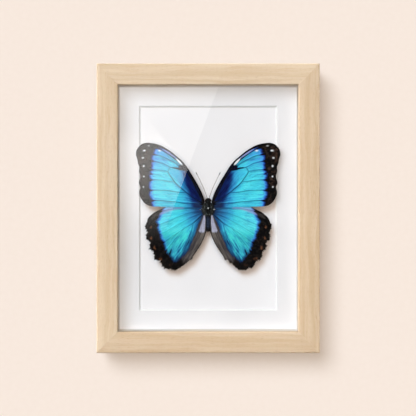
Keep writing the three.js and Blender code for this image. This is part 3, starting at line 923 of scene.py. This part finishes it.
def root_haze(x, h):
    """The smoky down near the hinges of the wings."""
    return smoothed(np.hypot(x - 5.0, h), 13.0, 5.0) * smoothed(h, 6.5, 4.0)


def fore_marks(x, h):
    """Numbers for the forewing's finish at each place."""
    field = outside_by(FORE_FIELD, x, h)
    line, prong = vein_marks(FORE_VEINS, field, x, h, 4.0, 0.5)
    patch = np.maximum.reduce([
        stroke([(16.6, 31.4), (19.4, 32.7), (21.9, 32.5)], [1.5, 2.3, 1.2], 0.5, x, h),
        stroke([(19.0, 30.4), (22.0, 30.7), (25.2, 31.5), (28.0, 32.1)], [1.0, 0.75, 0.45, 0.1], 0.4, x, h),
        stroke([(22.2, 33.6), (25.4, 36.2), (28.6, 38.8), (34.0, 42.8)], [0.3, 0.2, 0.1, 0.05], 0.5, x, h) * 0.4,
        stroke([(27.0, 35.6), (32.0, 38.0), (36.4, 38.8)], [0.1, 0.35, 0.1], 0.6, x, h) * 0.4,
    ])
    leading, _ = away_from(smooth_curve(FORE_LEADING, 60), x, h)
    high = smoothed(h, 31.0, 36.0)
    costa = smoothed(leading, 1.5, 0.7) * (1 - high) + smoothed(leading, 1.25, 0.6) * high
    floor = stroke([(10.5, 7.5), (16.4, 11.6), (20.0, 14.6), (25.7, 19.8)], [0.05, 0.2, 0.2, 0.05], 0.35, x, h)
    navy = outside_by(FORE_NAVY, x, h)
    glow = np.interp(navy, [-5, -1, 0, 2.4, 5.5, 9, 13], [0.04, 0.14, 0.24, 0.56, 0.75, 0.89, 0.98])
    glow = glow * (1 - 0.2 * smoothed(h, 25, 37) * smoothed(x, 27, 36)) * (1 - 0.1 * smoothed(h, 9.0, 4.5))
    bar = stroke([(20.9, 34.5), (22.1, 35.8), (23.5, 37.3), (24.9, 38.7)], [0.4, 0.62, 0.5, 0.15], 0.4, x, h)
    streak = stroke([(24.4, 38.2), (26.0, 40.0), (28.8, 42.3), (32.0, 44.5), (35.2, 46.4)],
                    [0.4, 0.5, 0.6, 0.5, 0.2], 0.6, x, h)
    sheen = stroke([(6.5, 3.2), (10.0, 4.3), (15.0, 4.7)], [0.1, 0.3, 0.1], 0.5, x, h)
    return {
        "field": field + prong,
        "glow": glow + 0.25 * sheen,
        "rim": 0.9 * smoothed(x, 30.0, 38.0),
        "white": np.maximum(spot_marks(FORE_SPOTS, x, h), bar),
        "lilac": streak * (1 - bar),
        "dark": np.maximum.reduce([patch * (1 - bar), 0.85 * line, 0.8 * floor]),
        "costa": costa,
        "azure": (smoothed(h, 22.0, 42.0) + smoothed(field, -7.0, -3.0)) * smoothed(x, 24.0, 34.0) * 0.6,
        "brown": smoothed(field, 0.4, 2.4) * (0.3 + 0.4 * smoothed(h, 14.0, 34.0)) * (1 - 0.85 * costa)
        * smoothed(h, 49.5, 46.5),
        "streaks": 0.3 * smoothed(x, 18.0, 30.0),
        "haze": root_haze(x, h),
        "edge": 0.85 + 0.0 * x,
    }


# %% [markdown]
# ## Marks of the hindwing
# The blue field points to the tip in ragged streaks. Along the body the wing is grey-brown with a
# pearly patch, its upper edge is lilac where the forewing rubs it, and the black border has a row of
# rust-coloured crescents.


# %% Hindwing marks
def hind_marks(x, h):
    """Numbers for the hindwing's finish at each place."""
    field = outside_by(HIND_FIELD, x, h)
    reach = np.hypot(x - 2.0, h + 1.5)
    line, prong = vein_marks(HIND_VEINS, field, x, h, 1.6, 0.6, 0.6 + 0.4 * smoothed(reach, 18.0, 6.0))
    glow = np.interp(reach, [2, 6, 10, 15, 20, 26], [0.14, 0.33, 0.5, 0.67, 0.9, 1.1])
    glow = glow * (1 - 0.32 * smoothed(-h, 16.0, 27.0)) * (1 - 0.15 * smoothed(-h, 31.0, 41.0))
    inner_side = smoothed(away_from(HIND_FIELD[-10:], x, h)[0], 3.4, 0.0) * smoothed(-h, 6.0, 12.0)
    streaks = np.maximum.reduce([
        stroke([(13.2, -19.0), (15.6, -25.0), (18.2, -31.0), (20.0, -35.5)], [0.3, 0.8, 0.6, 0.2], 1.8, x, h) * 0.2,
        stroke([(20.4, -25.0), (23.4, -34.0)], [0.2, 0.5], 1.2, x, h) * 0.2,
    ])
    light = np.maximum.reduce([
        stroke([(17.4, -20.0), (19.6, -28.0), (21.6, -34.0)], [0.3, 0.6, 0.3], 1.2, x, h),
        stroke([(23.4, -24.0), (25.8, -33.0), (26.4, -39.0)], [0.5, 0.7, 0.4], 1.3, x, h),
        stroke([(28.6, -23.0), (31.4, -30.0), (32.0, -33.6)], [0.7, 0.6, 0.3], 1.2, x, h),
    ])
    wedge = stroke([(29.0, -32.6), (30.2, -36.0), (31.0, -39.2)], [0.05, 0.4, 1.0], 0.8, x, h)
    anal = smoothed(field, -0.6, 0.8) * smoothed(away_from(HIND_TRAILING, x, h)[0], 9.5, 8.0)
    anal = anal * smoothed(h, -45.5, -38.0) * (1 - smoothed(x - 0.72 * -h, -8.0, -3.0) * smoothed(-h, 30.0, 40.0))
    anal = anal * (1 - 0.8 * smoothed(away_from(HIND_TRAILING, x, h)[0], 0.9, 0.2) * smoothed(-h, 8.0, 16.0))
    worn = stroke([(38.5, -4.7), (42.0, -5.8), (44.4, -7.8)], [0.5, 0.8, 0.2], 1.0, x, h)
    pearl = stroke([(2.6, -6.4), (3.6, -11.5), (5.0, -18.0)], [0.05, 0.6, 1.35], 1.9, x, h)
    lilac = stroke([(20.0, 0.4), (27.0, 0.1), (32.0, -1.3), (37.6, -4.0)], [0.2, 0.5, 0.9, 0.5], 1.7, x, h)
    rust = spot_marks([
        ((45.2, -14.8), (0.8, 1.1), 0.6), ((44.8, -23.4), (0.9, 1.1), 0.7), ((42.0, -31.3), (0.9, 1.6), 0.55),
        ((37.3, -39.8), (1.4, 1.1), 0.6), ((29.5, -44.6), (1.4, 0.7), 0.2),
    ], x, h)
    return {
        "field": field + prong * smoothed(x, 20.0, 30.0),
        "glow": glow * (1 - 0.35 * inner_side) - streaks + 0.06 * light,
        "rim": 0.8 * smoothed(x, 30.0, 36.0) * smoothed(h, -40.0, -32.0),
        "white": 0.0 * x,
        "lilac": 0.8 * lilac,
        "dark": np.maximum(wedge, line * (0.4 + 0.6 * smoothed(reach, 24.0, 8.0))) * smoothed(field, 1.0, -1.0),
        "azure": 0.5 * smoothed(x, 22.0, 36.0) * smoothed(h, -20.0, -4.0),
        "teal": 0.15 + 0.7 * smoothed(-h, 14.0, 24.0),
        "brown": 0.06 + 0.1 * smoothed(h, -6.0, -1.0),
        "streaks": smoothed(-h, 12.0, 26.0),
        "haze": root_haze(x, h),
        "edge": 0.85 - 0.6 * inner_side * smoothed(h, -30.0, -22.0),
        "anal": anal + 0.4 * worn,
        "pearl": pearl * smoothed(h, -21.0, -17.4),
        "rust": rust,
    }


# %% [markdown]
# ## The colour of scales
# The blue is no dye but a sheen from ridges on each scale: navy where it is turned away, through
# royal blue and azure to turquoise. One ramp holds those colours, and a second one the bright rim
# where the blue ends at the border. Fine streaks run the way the veins do, and rows of scales cross
# them.


# %% Scales
def scale_finish():
    wing = Finish("butterfly_scales")
    cell, reach = wing.lay()
    here = wing.here()
    rays = wing.noise(wing.vector(cell * 9.0, reach * 9.0), 1.0, detail=4.0, rough=0.62, flat=True)
    folds = wing.noise(wing.vector(cell * 3.6, reach * 7.0), 1.0, detail=2.0, flat=True)
    rows = wing.noise(wing.vector(cell * 16.0, reach * 420.0), 1.0, detail=1.0, flat=True)
    dust = wing.noise(here, 3600.0, detail=1.0)
    specks = wing.noise(here, 620.0, detail=2.0, rough=0.6)
    cloud = wing.noise(here, 170.0, detail=4.0, rough=0.6)
    crest = folds - 0.5
    hairline = wing.step(crest * crest, 0.0016, 0.0)
    field = wing.mark("field") + (specks - 0.5) * 1.6 + (rays - 0.5) * (2.2 + wing.mark("streaks") * 2.0)
    unrest = (rays - 0.5) * (0.5 + wing.mark("streaks")) + (folds - 0.5) * 0.25 + (cloud - 0.5) * 0.25
    bright = wing.mark("glow") + unrest
    blue = wing.node("ValToRGB", {"stops": [
        (0.0, tone(8, 16, 56)), (0.12, tone(14, 30, 88)), (0.24, tone(22, 62, 118)), (0.36, tone(36, 104, 160)),
        (0.48, tone(52, 144, 197)), (0.64, tone(65, 189, 221)), (0.8, tone(76, 217, 231)),
        (1.0, tone(104, 234, 241)),
    ]}, {0: bright * 0.8})
    rim = wing.node("ValToRGB", {"stops": [
        (0.0, tone(74, 180, 232)), (0.3, tone(72, 158, 232)), (0.52, tone(48, 100, 204)), (0.7, tone(28, 46, 126)),
        (0.88, tone(18, 17, 50)), (1.0, tone(16, 11, 20)),
    ]}, {0: (field + 3.4) * 0.25})
    azured = wing.mix(wing.mark("azure") * wing.step(rays, 0.62, 0.4), blue, tone(76, 154, 226))
    tealed = wing.mix(wing.mark("teal"), azured, tone(228, 250, 226), blend="MULTIPLY")
    lined = wing.mix(hairline * 0.3 * wing.step(bright, 0.3, 0.7), tealed, tone(24, 92, 142))
    plain_edge = wing.mix(wing.step(field, -2.4, 0.3) * wing.mark("edge"), lined, tone(20, 38, 84))
    edged = wing.mix(wing.step(field, -3.4, -1.8) * wing.mark("rim"), plain_edge, rim)
    lilac = wing.mix(wing.mark("lilac") * wing.step(rays, 0.25, 0.55), edged, tone(146, 154, 206))
    ink = wing.mix(wing.step(wing.mark("dark"), 0.3, 0.9), tone(14, 62, 112), tone(7, 10, 34))
    clear = wing.mix(wing.mark("dark"), lilac, ink)
    inked = wing.mix(wing.mark("haze") * (0.06 + rays * 0.12), clear, tone(76, 104, 106))
    border = wing.mix(wing.step(specks, 0.46, 0.64), tone(4, 3, 4), tone(26, 23, 20))
    brown = wing.mix(wing.step(specks, 0.4, 0.62), tone(20, 13, 12), tone(90, 66, 54))
    browned = wing.mix(wing.mark("brown") * wing.step(cloud, 0.4, 0.6), border, brown)
    rusted = wing.mix(wing.mark("rust") * wing.step(specks, 0.35, 0.6), browned, tone(150, 98, 68))
    pale_grey = wing.mix(wing.step(rays, 0.3, 0.65), tone(62, 57, 57), tone(112, 105, 99))
    grey = wing.mix(wing.step(field, 6.0, 0.8) * 0.6, pale_grey, tone(50, 47, 56))
    greyed = wing.mix(wing.mark("anal"), rusted, grey)
    bordered = wing.mix(wing.step(field, -0.3, 0.75), inked, greyed)
    whole = wing.mix(wing.mark("costa"), bordered, tone(13, 7, 11))
    pearl = wing.mix(wing.step(rays, 0.3, 0.6), tone(156, 154, 180), tone(190, 192, 212))
    pearled = wing.mix(wing.step(wing.mark("pearl") * (rays * 0.8 + specks * 0.8), 0.12, 0.85), whole, pearl)
    spotted = wing.mix(wing.mark("white"), pearled, tone(246, 250, 254))
    ribbed = wing.mix(wing.mark("rib") * 0.3, spotted, tone(16, 30, 60))
    grain = rows * 0.5 + dust * 0.5
    speckled = wing.mix(0.3, ribbed, wing.mix(grain, tone(150, 150, 156), tone(255, 255, 255)), blend="MULTIPLY")
    colour = wing.mix(wing.mark("under"), speckled, tone(138, 100, 72))
    metal = wing.step(field, 0.0, -2.0) * 0.2
    relief = grain * 0.4 + rays * 0.6
    return wing.skin(colour, 0.5 + grain * 0.16, wing.bump(relief, 0.00012, 0.6), Metallic=metal,
                     Specular_IOR_Level=0.015)


# %% Wings
WING_STEPS = 130
scales = scale_finish()


def fore_outline():
    parts = [smooth_curve(FORE_LEADING, 100), smooth_curve(FORE_MARGIN, 90)[1:], smooth_curve(FORE_TRAILING, 46)[1:]]
    return np.concatenate(parts)


def hind_outline(seed):
    margin = ragged(smooth_curve(HIND_MARGIN, 290), 0.85, seed)
    trailing = ragged(smooth_curve(HIND_TRAILING, 64), 0.06, seed + 5)
    return np.concatenate([smooth_curve(HIND_LEADING, 56), margin[1:-1], trailing])


for side, word in ((1, "right"), (-1, "left")):
    seed = 40 + side

    def fore_depth(x, h, seed=seed):
        return membrane_depth(x, h, FORE_MIDDLE, FORE_VEINS, seed)

    def hind_depth(x, h, seed=seed):
        return membrane_depth(x, h, HIND_MIDDLE, HIND_VEINS, seed + 7)

    fore = wing_shell(FORE_ROOT, fore_outline(), WING_STEPS, side, fore_depth, fore_marks, FORE_VEINS, FORE_RAYS)
    make_piece(f"forewing_{word}", fore, [scales], [f"forewing_{word}"], sharp=60)
    hind = wing_shell(HIND_ROOT, hind_outline(70 + side), WING_STEPS, side, hind_depth, hind_marks, HIND_VEINS,
                      HIND_RAYS)
    make_piece(f"hindwing_{word}", hind, [scales], [f"hindwing_{word}"], sharp=60)

# %% [markdown]
# ## The body
# Head, thorax and abdomen are flattened tubes round the body's axis, each with its own run of radii.
# The abdomen is ringed. Short fur covers head and thorax and lies back towards the tail, as combed.

# %% Body shapes
body_front, body_back = depth_of("butterfly_body")
AXIS_DEPTH = (body_front + body_back) / 2


LOBES = [  # x, h, half width, half depth, half length, lean, how far towards the glass
    (0.0, 6.0, 2.45, 1.8, 2.0, 0.0, 0.1),
    (0.0, 4.0, 2.0, 1.5, 1.6, 0.0, 0.0),
    (0.0, 0.6, 2.1, 2.3, 3.3, 0.0, 0.4),
    (2.5, 1.8, 1.2, 1.5, 2.6, -0.25, 0.6), (-2.5, 1.8, 1.2, 1.5, 2.6, 0.25, 0.6),
    (2.9, -1.9, 1.25, 1.4, 2.1, 0.3, 0.4), (-2.9, -1.9, 1.25, 1.4, 2.1, -0.3, 0.4),
    (0.0, -3.5, 2.6, 2.2, 2.1, 0.0, 0.2),
]


def lobe(x, h, wide, deep, long, lean, front, **marks):
    """A closed form with elliptic sections: its half width is wide √(1 - s²), with s from -1 to 1 along it."""
    s = np.cos(np.linspace(0, np.pi, 22))
    radii = np.sqrt(1 - s * s)[:, None] * np.array([wide, deep]) * MM
    path = place(x + lean * s * long, AXIS_DEPTH - front + 0 * s, h + s * long)
    return tube(path, radii, 24, (0, 1, 0), **{name: np.full(22, value) for name, value in marks.items()})


def abdomen():
    """The ringed tail: its radius swells by 5% in the middle of each of eight rings."""
    h = np.linspace(-4.2, -18.6, 90)
    share = (h[0] - h) / (h[0] - h[-1])
    taper = np.interp(share, [0, 0.1, 0.3, 0.6, 0.85, 0.97, 1], [1.2, 2.1, 2.2, 2.15, 1.9, 1.3, 0])
    ring = 1 + 0.05 * np.abs(np.sin(share * np.pi * 8)) ** 0.7
    radius = taper * ring * MM
    return tube(place(0 * h, AXIS_DEPTH + 0.2 + 0.5 * share**2, h), np.stack([radius, radius * 0.95], -1), 32,
                (0, 1, 0), belly=smoothed(share, 0.0, 0.25), ring=np.abs(np.sin(share * np.pi * 8)),
                tip=np.maximum(smoothed(share, 0.7, 0.85), smoothed(share, 0.3, 0.1)))


# %% Fur
def hairs(roots, ways, lengths, thick, shade, droop=0.35):
    """Thin closed spindles: each starts at a root, goes its way and bends towards the tail."""
    t = np.array([0.0, 0.04, 0.35, 0.7, 1.0])[None, :, None]
    ways = ways / np.linalg.norm(ways, axis=1, keepdims=True)
    down = np.array([0, 0.1, -1.0])
    reach = lengths[:, None, None]
    paths = roots[:, None, :] + ways[:, None, :] * t * reach + down * droop * t**2 * reach
    radii = thick * np.array([0.0, 1.0, 0.85, 0.5, 0.0])[None, :] * np.ones((len(roots), 1))
    marks = {"fur": np.ones(radii.shape), "shade": shade[:, None] * np.ones(radii.shape)}
    return tube(paths * MM, radii * MM, 3, **marks)


def on_frame(shell):
    """Moves a shell drawn in millimetres as x, d, h into the frame."""
    shell["points"] = place(*(shell["points"].T / MM))
    return shell


def lobe_fur(count, seed):
    """Hairs on the lobes of head and thorax, mostly on the side that shows. Along a few curves their
    tips are painted pale: painted highlights on the coat."""
    draw = np.random.default_rng(seed)
    x, h, wide, deep, long, lean, front = np.array(LOBES)[draw.integers(0, len(LOBES), count)].T
    way = draw.normal(size=(count, 3))
    way[:, 1] = -np.abs(way[:, 1]) * 0.9 + 0.25
    way /= np.linalg.norm(way, axis=1, keepdims=True)
    root_x, root_h = x + lean * way[:, 2] * long + way[:, 0] * wide * 0.96, h + way[:, 2] * long * 0.96
    roots = np.stack([root_x, AXIS_DEPTH - front + way[:, 1] * deep * 0.96, root_h], -1)
    arcs = np.maximum.reduce([stroke(arc, [0.3, 0.45, 0.3], 0.5, root_x, root_h) for arc in PAINTED_FUR_HIGHLIGHTS])
    comb = way * 0.7 + np.array([0, -0.15, -0.9]) + draw.normal(0, 0.22, (count, 3))
    lengths = draw.uniform(0.5, 1.3, count) * np.where(h > 3.0, 0.6, 1.0)
    return on_frame(hairs(roots, comb, lengths, 0.045, draw.random(count) * (0.4 + 0.6 * arcs)))


def wing_root_fur(count, seed):
    """Longer hairs that lie out over the wing roots, longest at the hinges."""
    draw = np.random.default_rng(seed)
    side = np.where(draw.random(count) < 0.5, 1.0, -1.0)
    h = draw.uniform(-4.4, 3.4, count)
    roots = np.stack([side * draw.uniform(1.9, 3.2, count), AXIS_DEPTH - draw.uniform(1.7, 2.1, count), h], -1)
    fan_out = np.stack([side * draw.uniform(0.7, 1.2, count), draw.normal(0.02, 0.06, count),
                        h * 0.1 + draw.normal(-0.1, 0.2, count)], -1)
    lengths = draw.uniform(1.2, 3.6, count) * (1 - 0.8 * ((h + 0.6) / 4.2) ** 2)
    return on_frame(hairs(roots, fan_out, lengths, 0.045, draw.random(count) * 0.6, 0.12))


# Curves along which the hair tips are painted pale: painted highlights.
PAINTED_FUR_HIGHLIGHTS = [
    [(-3.9, 0.4), (-2.6, -3.6), (0.0, -5.0)], [(3.7, 0.2), (2.5, -3.6), (0.0, -5.0)],
    [(-1.3, 3.6), (-0.6, 2.2), (-1.0, 0.4)], [(2.2, 2.6), (2.7, 0.6), (2.0, -1.6)], [(-2.6, 2.0), (-3.2, 0.4), (-3.0, -1.0)],
]


def body_finish():
    """Black fur with pale hair tips, some at random and some as painted highlights, a blue-black ringed abdomen with
    a painted blue sheen down its middle, and glossy dark eyes.
    """
    coat = Finish("black_fur")
    here = coat.here()
    fuzz = coat.noise(here, 2400.0, detail=3.0)
    across = coat.node("SeparateXYZ", None, {0: here}) * 1000.0
    # Pale grey hair tips: partly random, partly painted highlight along the curves above.
    hair = coat.mix(coat.mark("shade") ** 2.0, tone(3, 3, 4), tone(138, 146, 144))
    base = coat.mix(coat.step(fuzz, 0.4, 0.7), tone(3, 3, 4), tone(20, 22, 22))
    # Painted sheen: the abdomen's middle strip is painted blue, most on each ring's bulge, and its sides stay black,
    # as if lit from the front.
    painted_sheen = coat.step(across * across, 3.0, 0.3) * (1 - coat.mark("tip")) * coat.step(fuzz, 0.3, 0.6)
    tail = coat.mix(painted_sheen * (0.3 + coat.mark("ring") * 0.7), tone(8, 8, 11), tone(44, 58, 84))
    tailed = coat.mix(coat.mark("belly"), base, coat.mix(coat.step(fuzz, 0.5, 0.75) * 0.5, tail, tone(58, 60, 68)))
    furred = coat.mix(coat.mark("fur"), tailed, hair)
    eyed = coat.mix(coat.mark("eye"), furred, tone(36, 13, 11))
    colour = coat.mix(coat.mark("pale"), eyed, tone(186, 188, 196))
    rough = 0.62 - coat.mark("eye") * 0.4
    return coat.skin(colour, rough, coat.bump(fuzz, 0.00008, 0.7), Specular_IOR_Level=0.06)


body = together([
    *[lobe(*form) for form in LOBES],
    abdomen(),
    lobe(1.3, 6.6, 1.0, 1.0, 0.95, -0.4, 0.6, eye=1.0), lobe(-1.3, 6.6, 1.0, 1.0, 0.95, 0.4, 0.6, eye=1.0),
    lobe(4.75, -1.0, 0.75, 0.3, 0.4, 0.2, 1.9, pale=0.85), lobe(-6.2, -1.1, 0.6, 0.3, 0.35, -0.2, 1.7, pale=0.3),
    lobe_fur(6400, 5), wing_root_fur(1500, 6),
])
make_piece("butterfly_body", body, [body_finish()], ["butterfly_body"], sharp=70)

# %% [markdown]
# ## Feelers and pin
# A feeler is a thin ringed thread that thickens into a slim club. The pin is a plain steel shaft with
# a small round head.


# %% Feelers and pin
def feeler(side):
    path = smooth_curve([(0.7, 7.6, 12.8), (1.2, 9.2, 12.4), (3.0, 14.2, 12.1), (6.0, 21.0, 11.8), (9.6, 28.2, 11.8)],
                        150)
    share = np.linspace(0, 1, 150)
    radius = 0.17 + 0.03 * np.sin(share * 2 * np.pi * 36) + 0.18 * smoothed(share, 0.86, 0.97)
    radius *= np.minimum(1, np.minimum(share * 60, (1 - share) * 40)) ** 0.5
    return tube(place(side * path[:, 0], path[:, 2], path[:, 1]), radius * MM, 10, (0, 1, 0.2), share=share)


def feeler_finish():
    horn = Finish("antenna_horn")
    grain = horn.noise(horn.here(), 3000.0)
    colour = horn.mix(grain, tone(92, 76, 64), tone(146, 126, 108))
    tipped = horn.mix(horn.step(horn.mark("share"), 0.86, 0.95), colour, tone(36, 26, 22))
    return horn.skin(tipped, 0.5, horn.bump(grain, 0.00003))


for side, word in ((1, "right"), (-1, "left")):
    make_piece(f"antenna_{word}", feeler(side), [feeler_finish()], [f"antenna_{word}"])


def pin_shell():
    """A round head of 0.62 mm radius on a shaft of 0.22 mm that runs into the backing board."""
    front, back = depth_of("insect_pin")
    turn = np.linspace(0, np.pi * 0.86, 14)
    head_d = front + 0.62 - 0.62 * np.cos(turn)
    head_r = 0.62 * np.sin(turn)
    d = np.concatenate([head_d, [front + 1.6, back - 1.0, back]])
    r = np.concatenate([head_r, [0.22, 0.22, 0.0]])
    return tube(place(0 * d, d, 0 * d), r * MM, 20, (0, 0, 1))


make_piece("insect_pin", pin_shell(), [steel_finish("pin_steel", 226)], ["insect_pin"])

# %% [markdown]
# ## Lamps, each with its own task
# The lamps come last, because a lamp may be told which things it lights and which ones shade it. The
# wall has a pair of its own: a cool key from the upper left, and a warm fill from straight ahead whose
# shadow hides behind the frame. In the box, the key throws the soft shadow of the rails and of the
# wings. The fill passes through the rails, so that the shadow stays light. The mat and the rails have
# small lamps of their own, far out to the left, that make the cut edges and the inner walls show.


# %% Lamps
def light_group(name, things, state):
    """A group of things: INCLUDE for all that a lamp lights, EXCLUDE for all that it leaves out."""
    group = bpy.data.collections.new(name)
    for thing in things:
        group.objects.link(thing)
    for member in group.collection_objects:
        member.light_linking.link_state = state
    return group


def far_lamp(name, way, spread, light, lit, shaded_by=None):
    """A lamp so far away that it lights all points alike. way leads to it, spread is its apparent
    size in degrees, and light is what it makes a white wall send back, as red, green and blue."""
    way, light = Vector(way).normalized(), np.array(light)
    data = bpy.data.lights.new(name, "SUN")
    data.angle = math.radians(spread)
    data.energy = float(light.max() * math.pi / abs(way.y))
    data.color = light / light.max()
    thing = bpy.data.objects.new(name, data)
    thing.rotation_euler = way.to_track_quat("Z", "Y").to_euler()
    thing.light_linking.receiver_collection = lit
    thing.light_linking.blocker_collection = shaded_by
    bpy.context.scene.collection.objects.link(thing)


surround = [rails[name] for name in rails] + [nodes[name] for name in nodes if name.startswith("spacer")]
wall_only = light_group("wall_only", [wall], "INCLUDE")
box = light_group("box", [wall], "EXCLUDE")
box_but_mat = light_group("box_but_mat", [wall, nodes["mat_board"]], "EXCLUDE")
mat_only = light_group("mat_only", [nodes["mat_board"]], "INCLUDE")
rails_only = light_group("rails_only", rails.values(), "INCLUDE")
through_rails = light_group("through_rails", surround, "EXCLUDE")

far_lamp("wall_key", (-0.375, -1.0, 0.46), 32.0, (0.41, 0.446, 0.492), wall_only)
far_lamp("wall_fill", (0.0, -1.0, 0.0), 12.0, (0.456, 0.402, 0.347), wall_only)
far_lamp("box_key", (-0.34, -1.0, 0.55), 24.0, (0.336, 0.450, 0.548), box_but_mat)
far_lamp("box_fill", (-0.05, -1.0, 0.1), 56.0, (0.610, 0.500, 0.415), box_but_mat, through_rails)
far_lamp("mat_key", (-0.34, -1.0, 0.29), 37.0, (0.438, 0.470, 0.517), mat_only)
far_lamp("mat_fill", (-0.05, -1.0, 0.1), 56.0, (0.272, 0.248, 0.217), mat_only, through_rails)
far_lamp("edge_light", (-1.0, -1.0, 0.85), 10.0, (0.17, 0.165, 0.16), mat_only, mat_only)
far_lamp("lip_light", (-1.0, -0.12, 0.56), 10.0, (0.132, 0.132, 0.132), rails_only, rails_only)
far_lamp("side_lamp", (1.0, 0.08, 0.25), 8.0, (0.037, 0.0355, 0.034), rails_only, rails_only)
far_lamp("back_lamp", (-0.5, 1.0, 0.6), 30.0, (0.5, 0.49, 0.47), box)
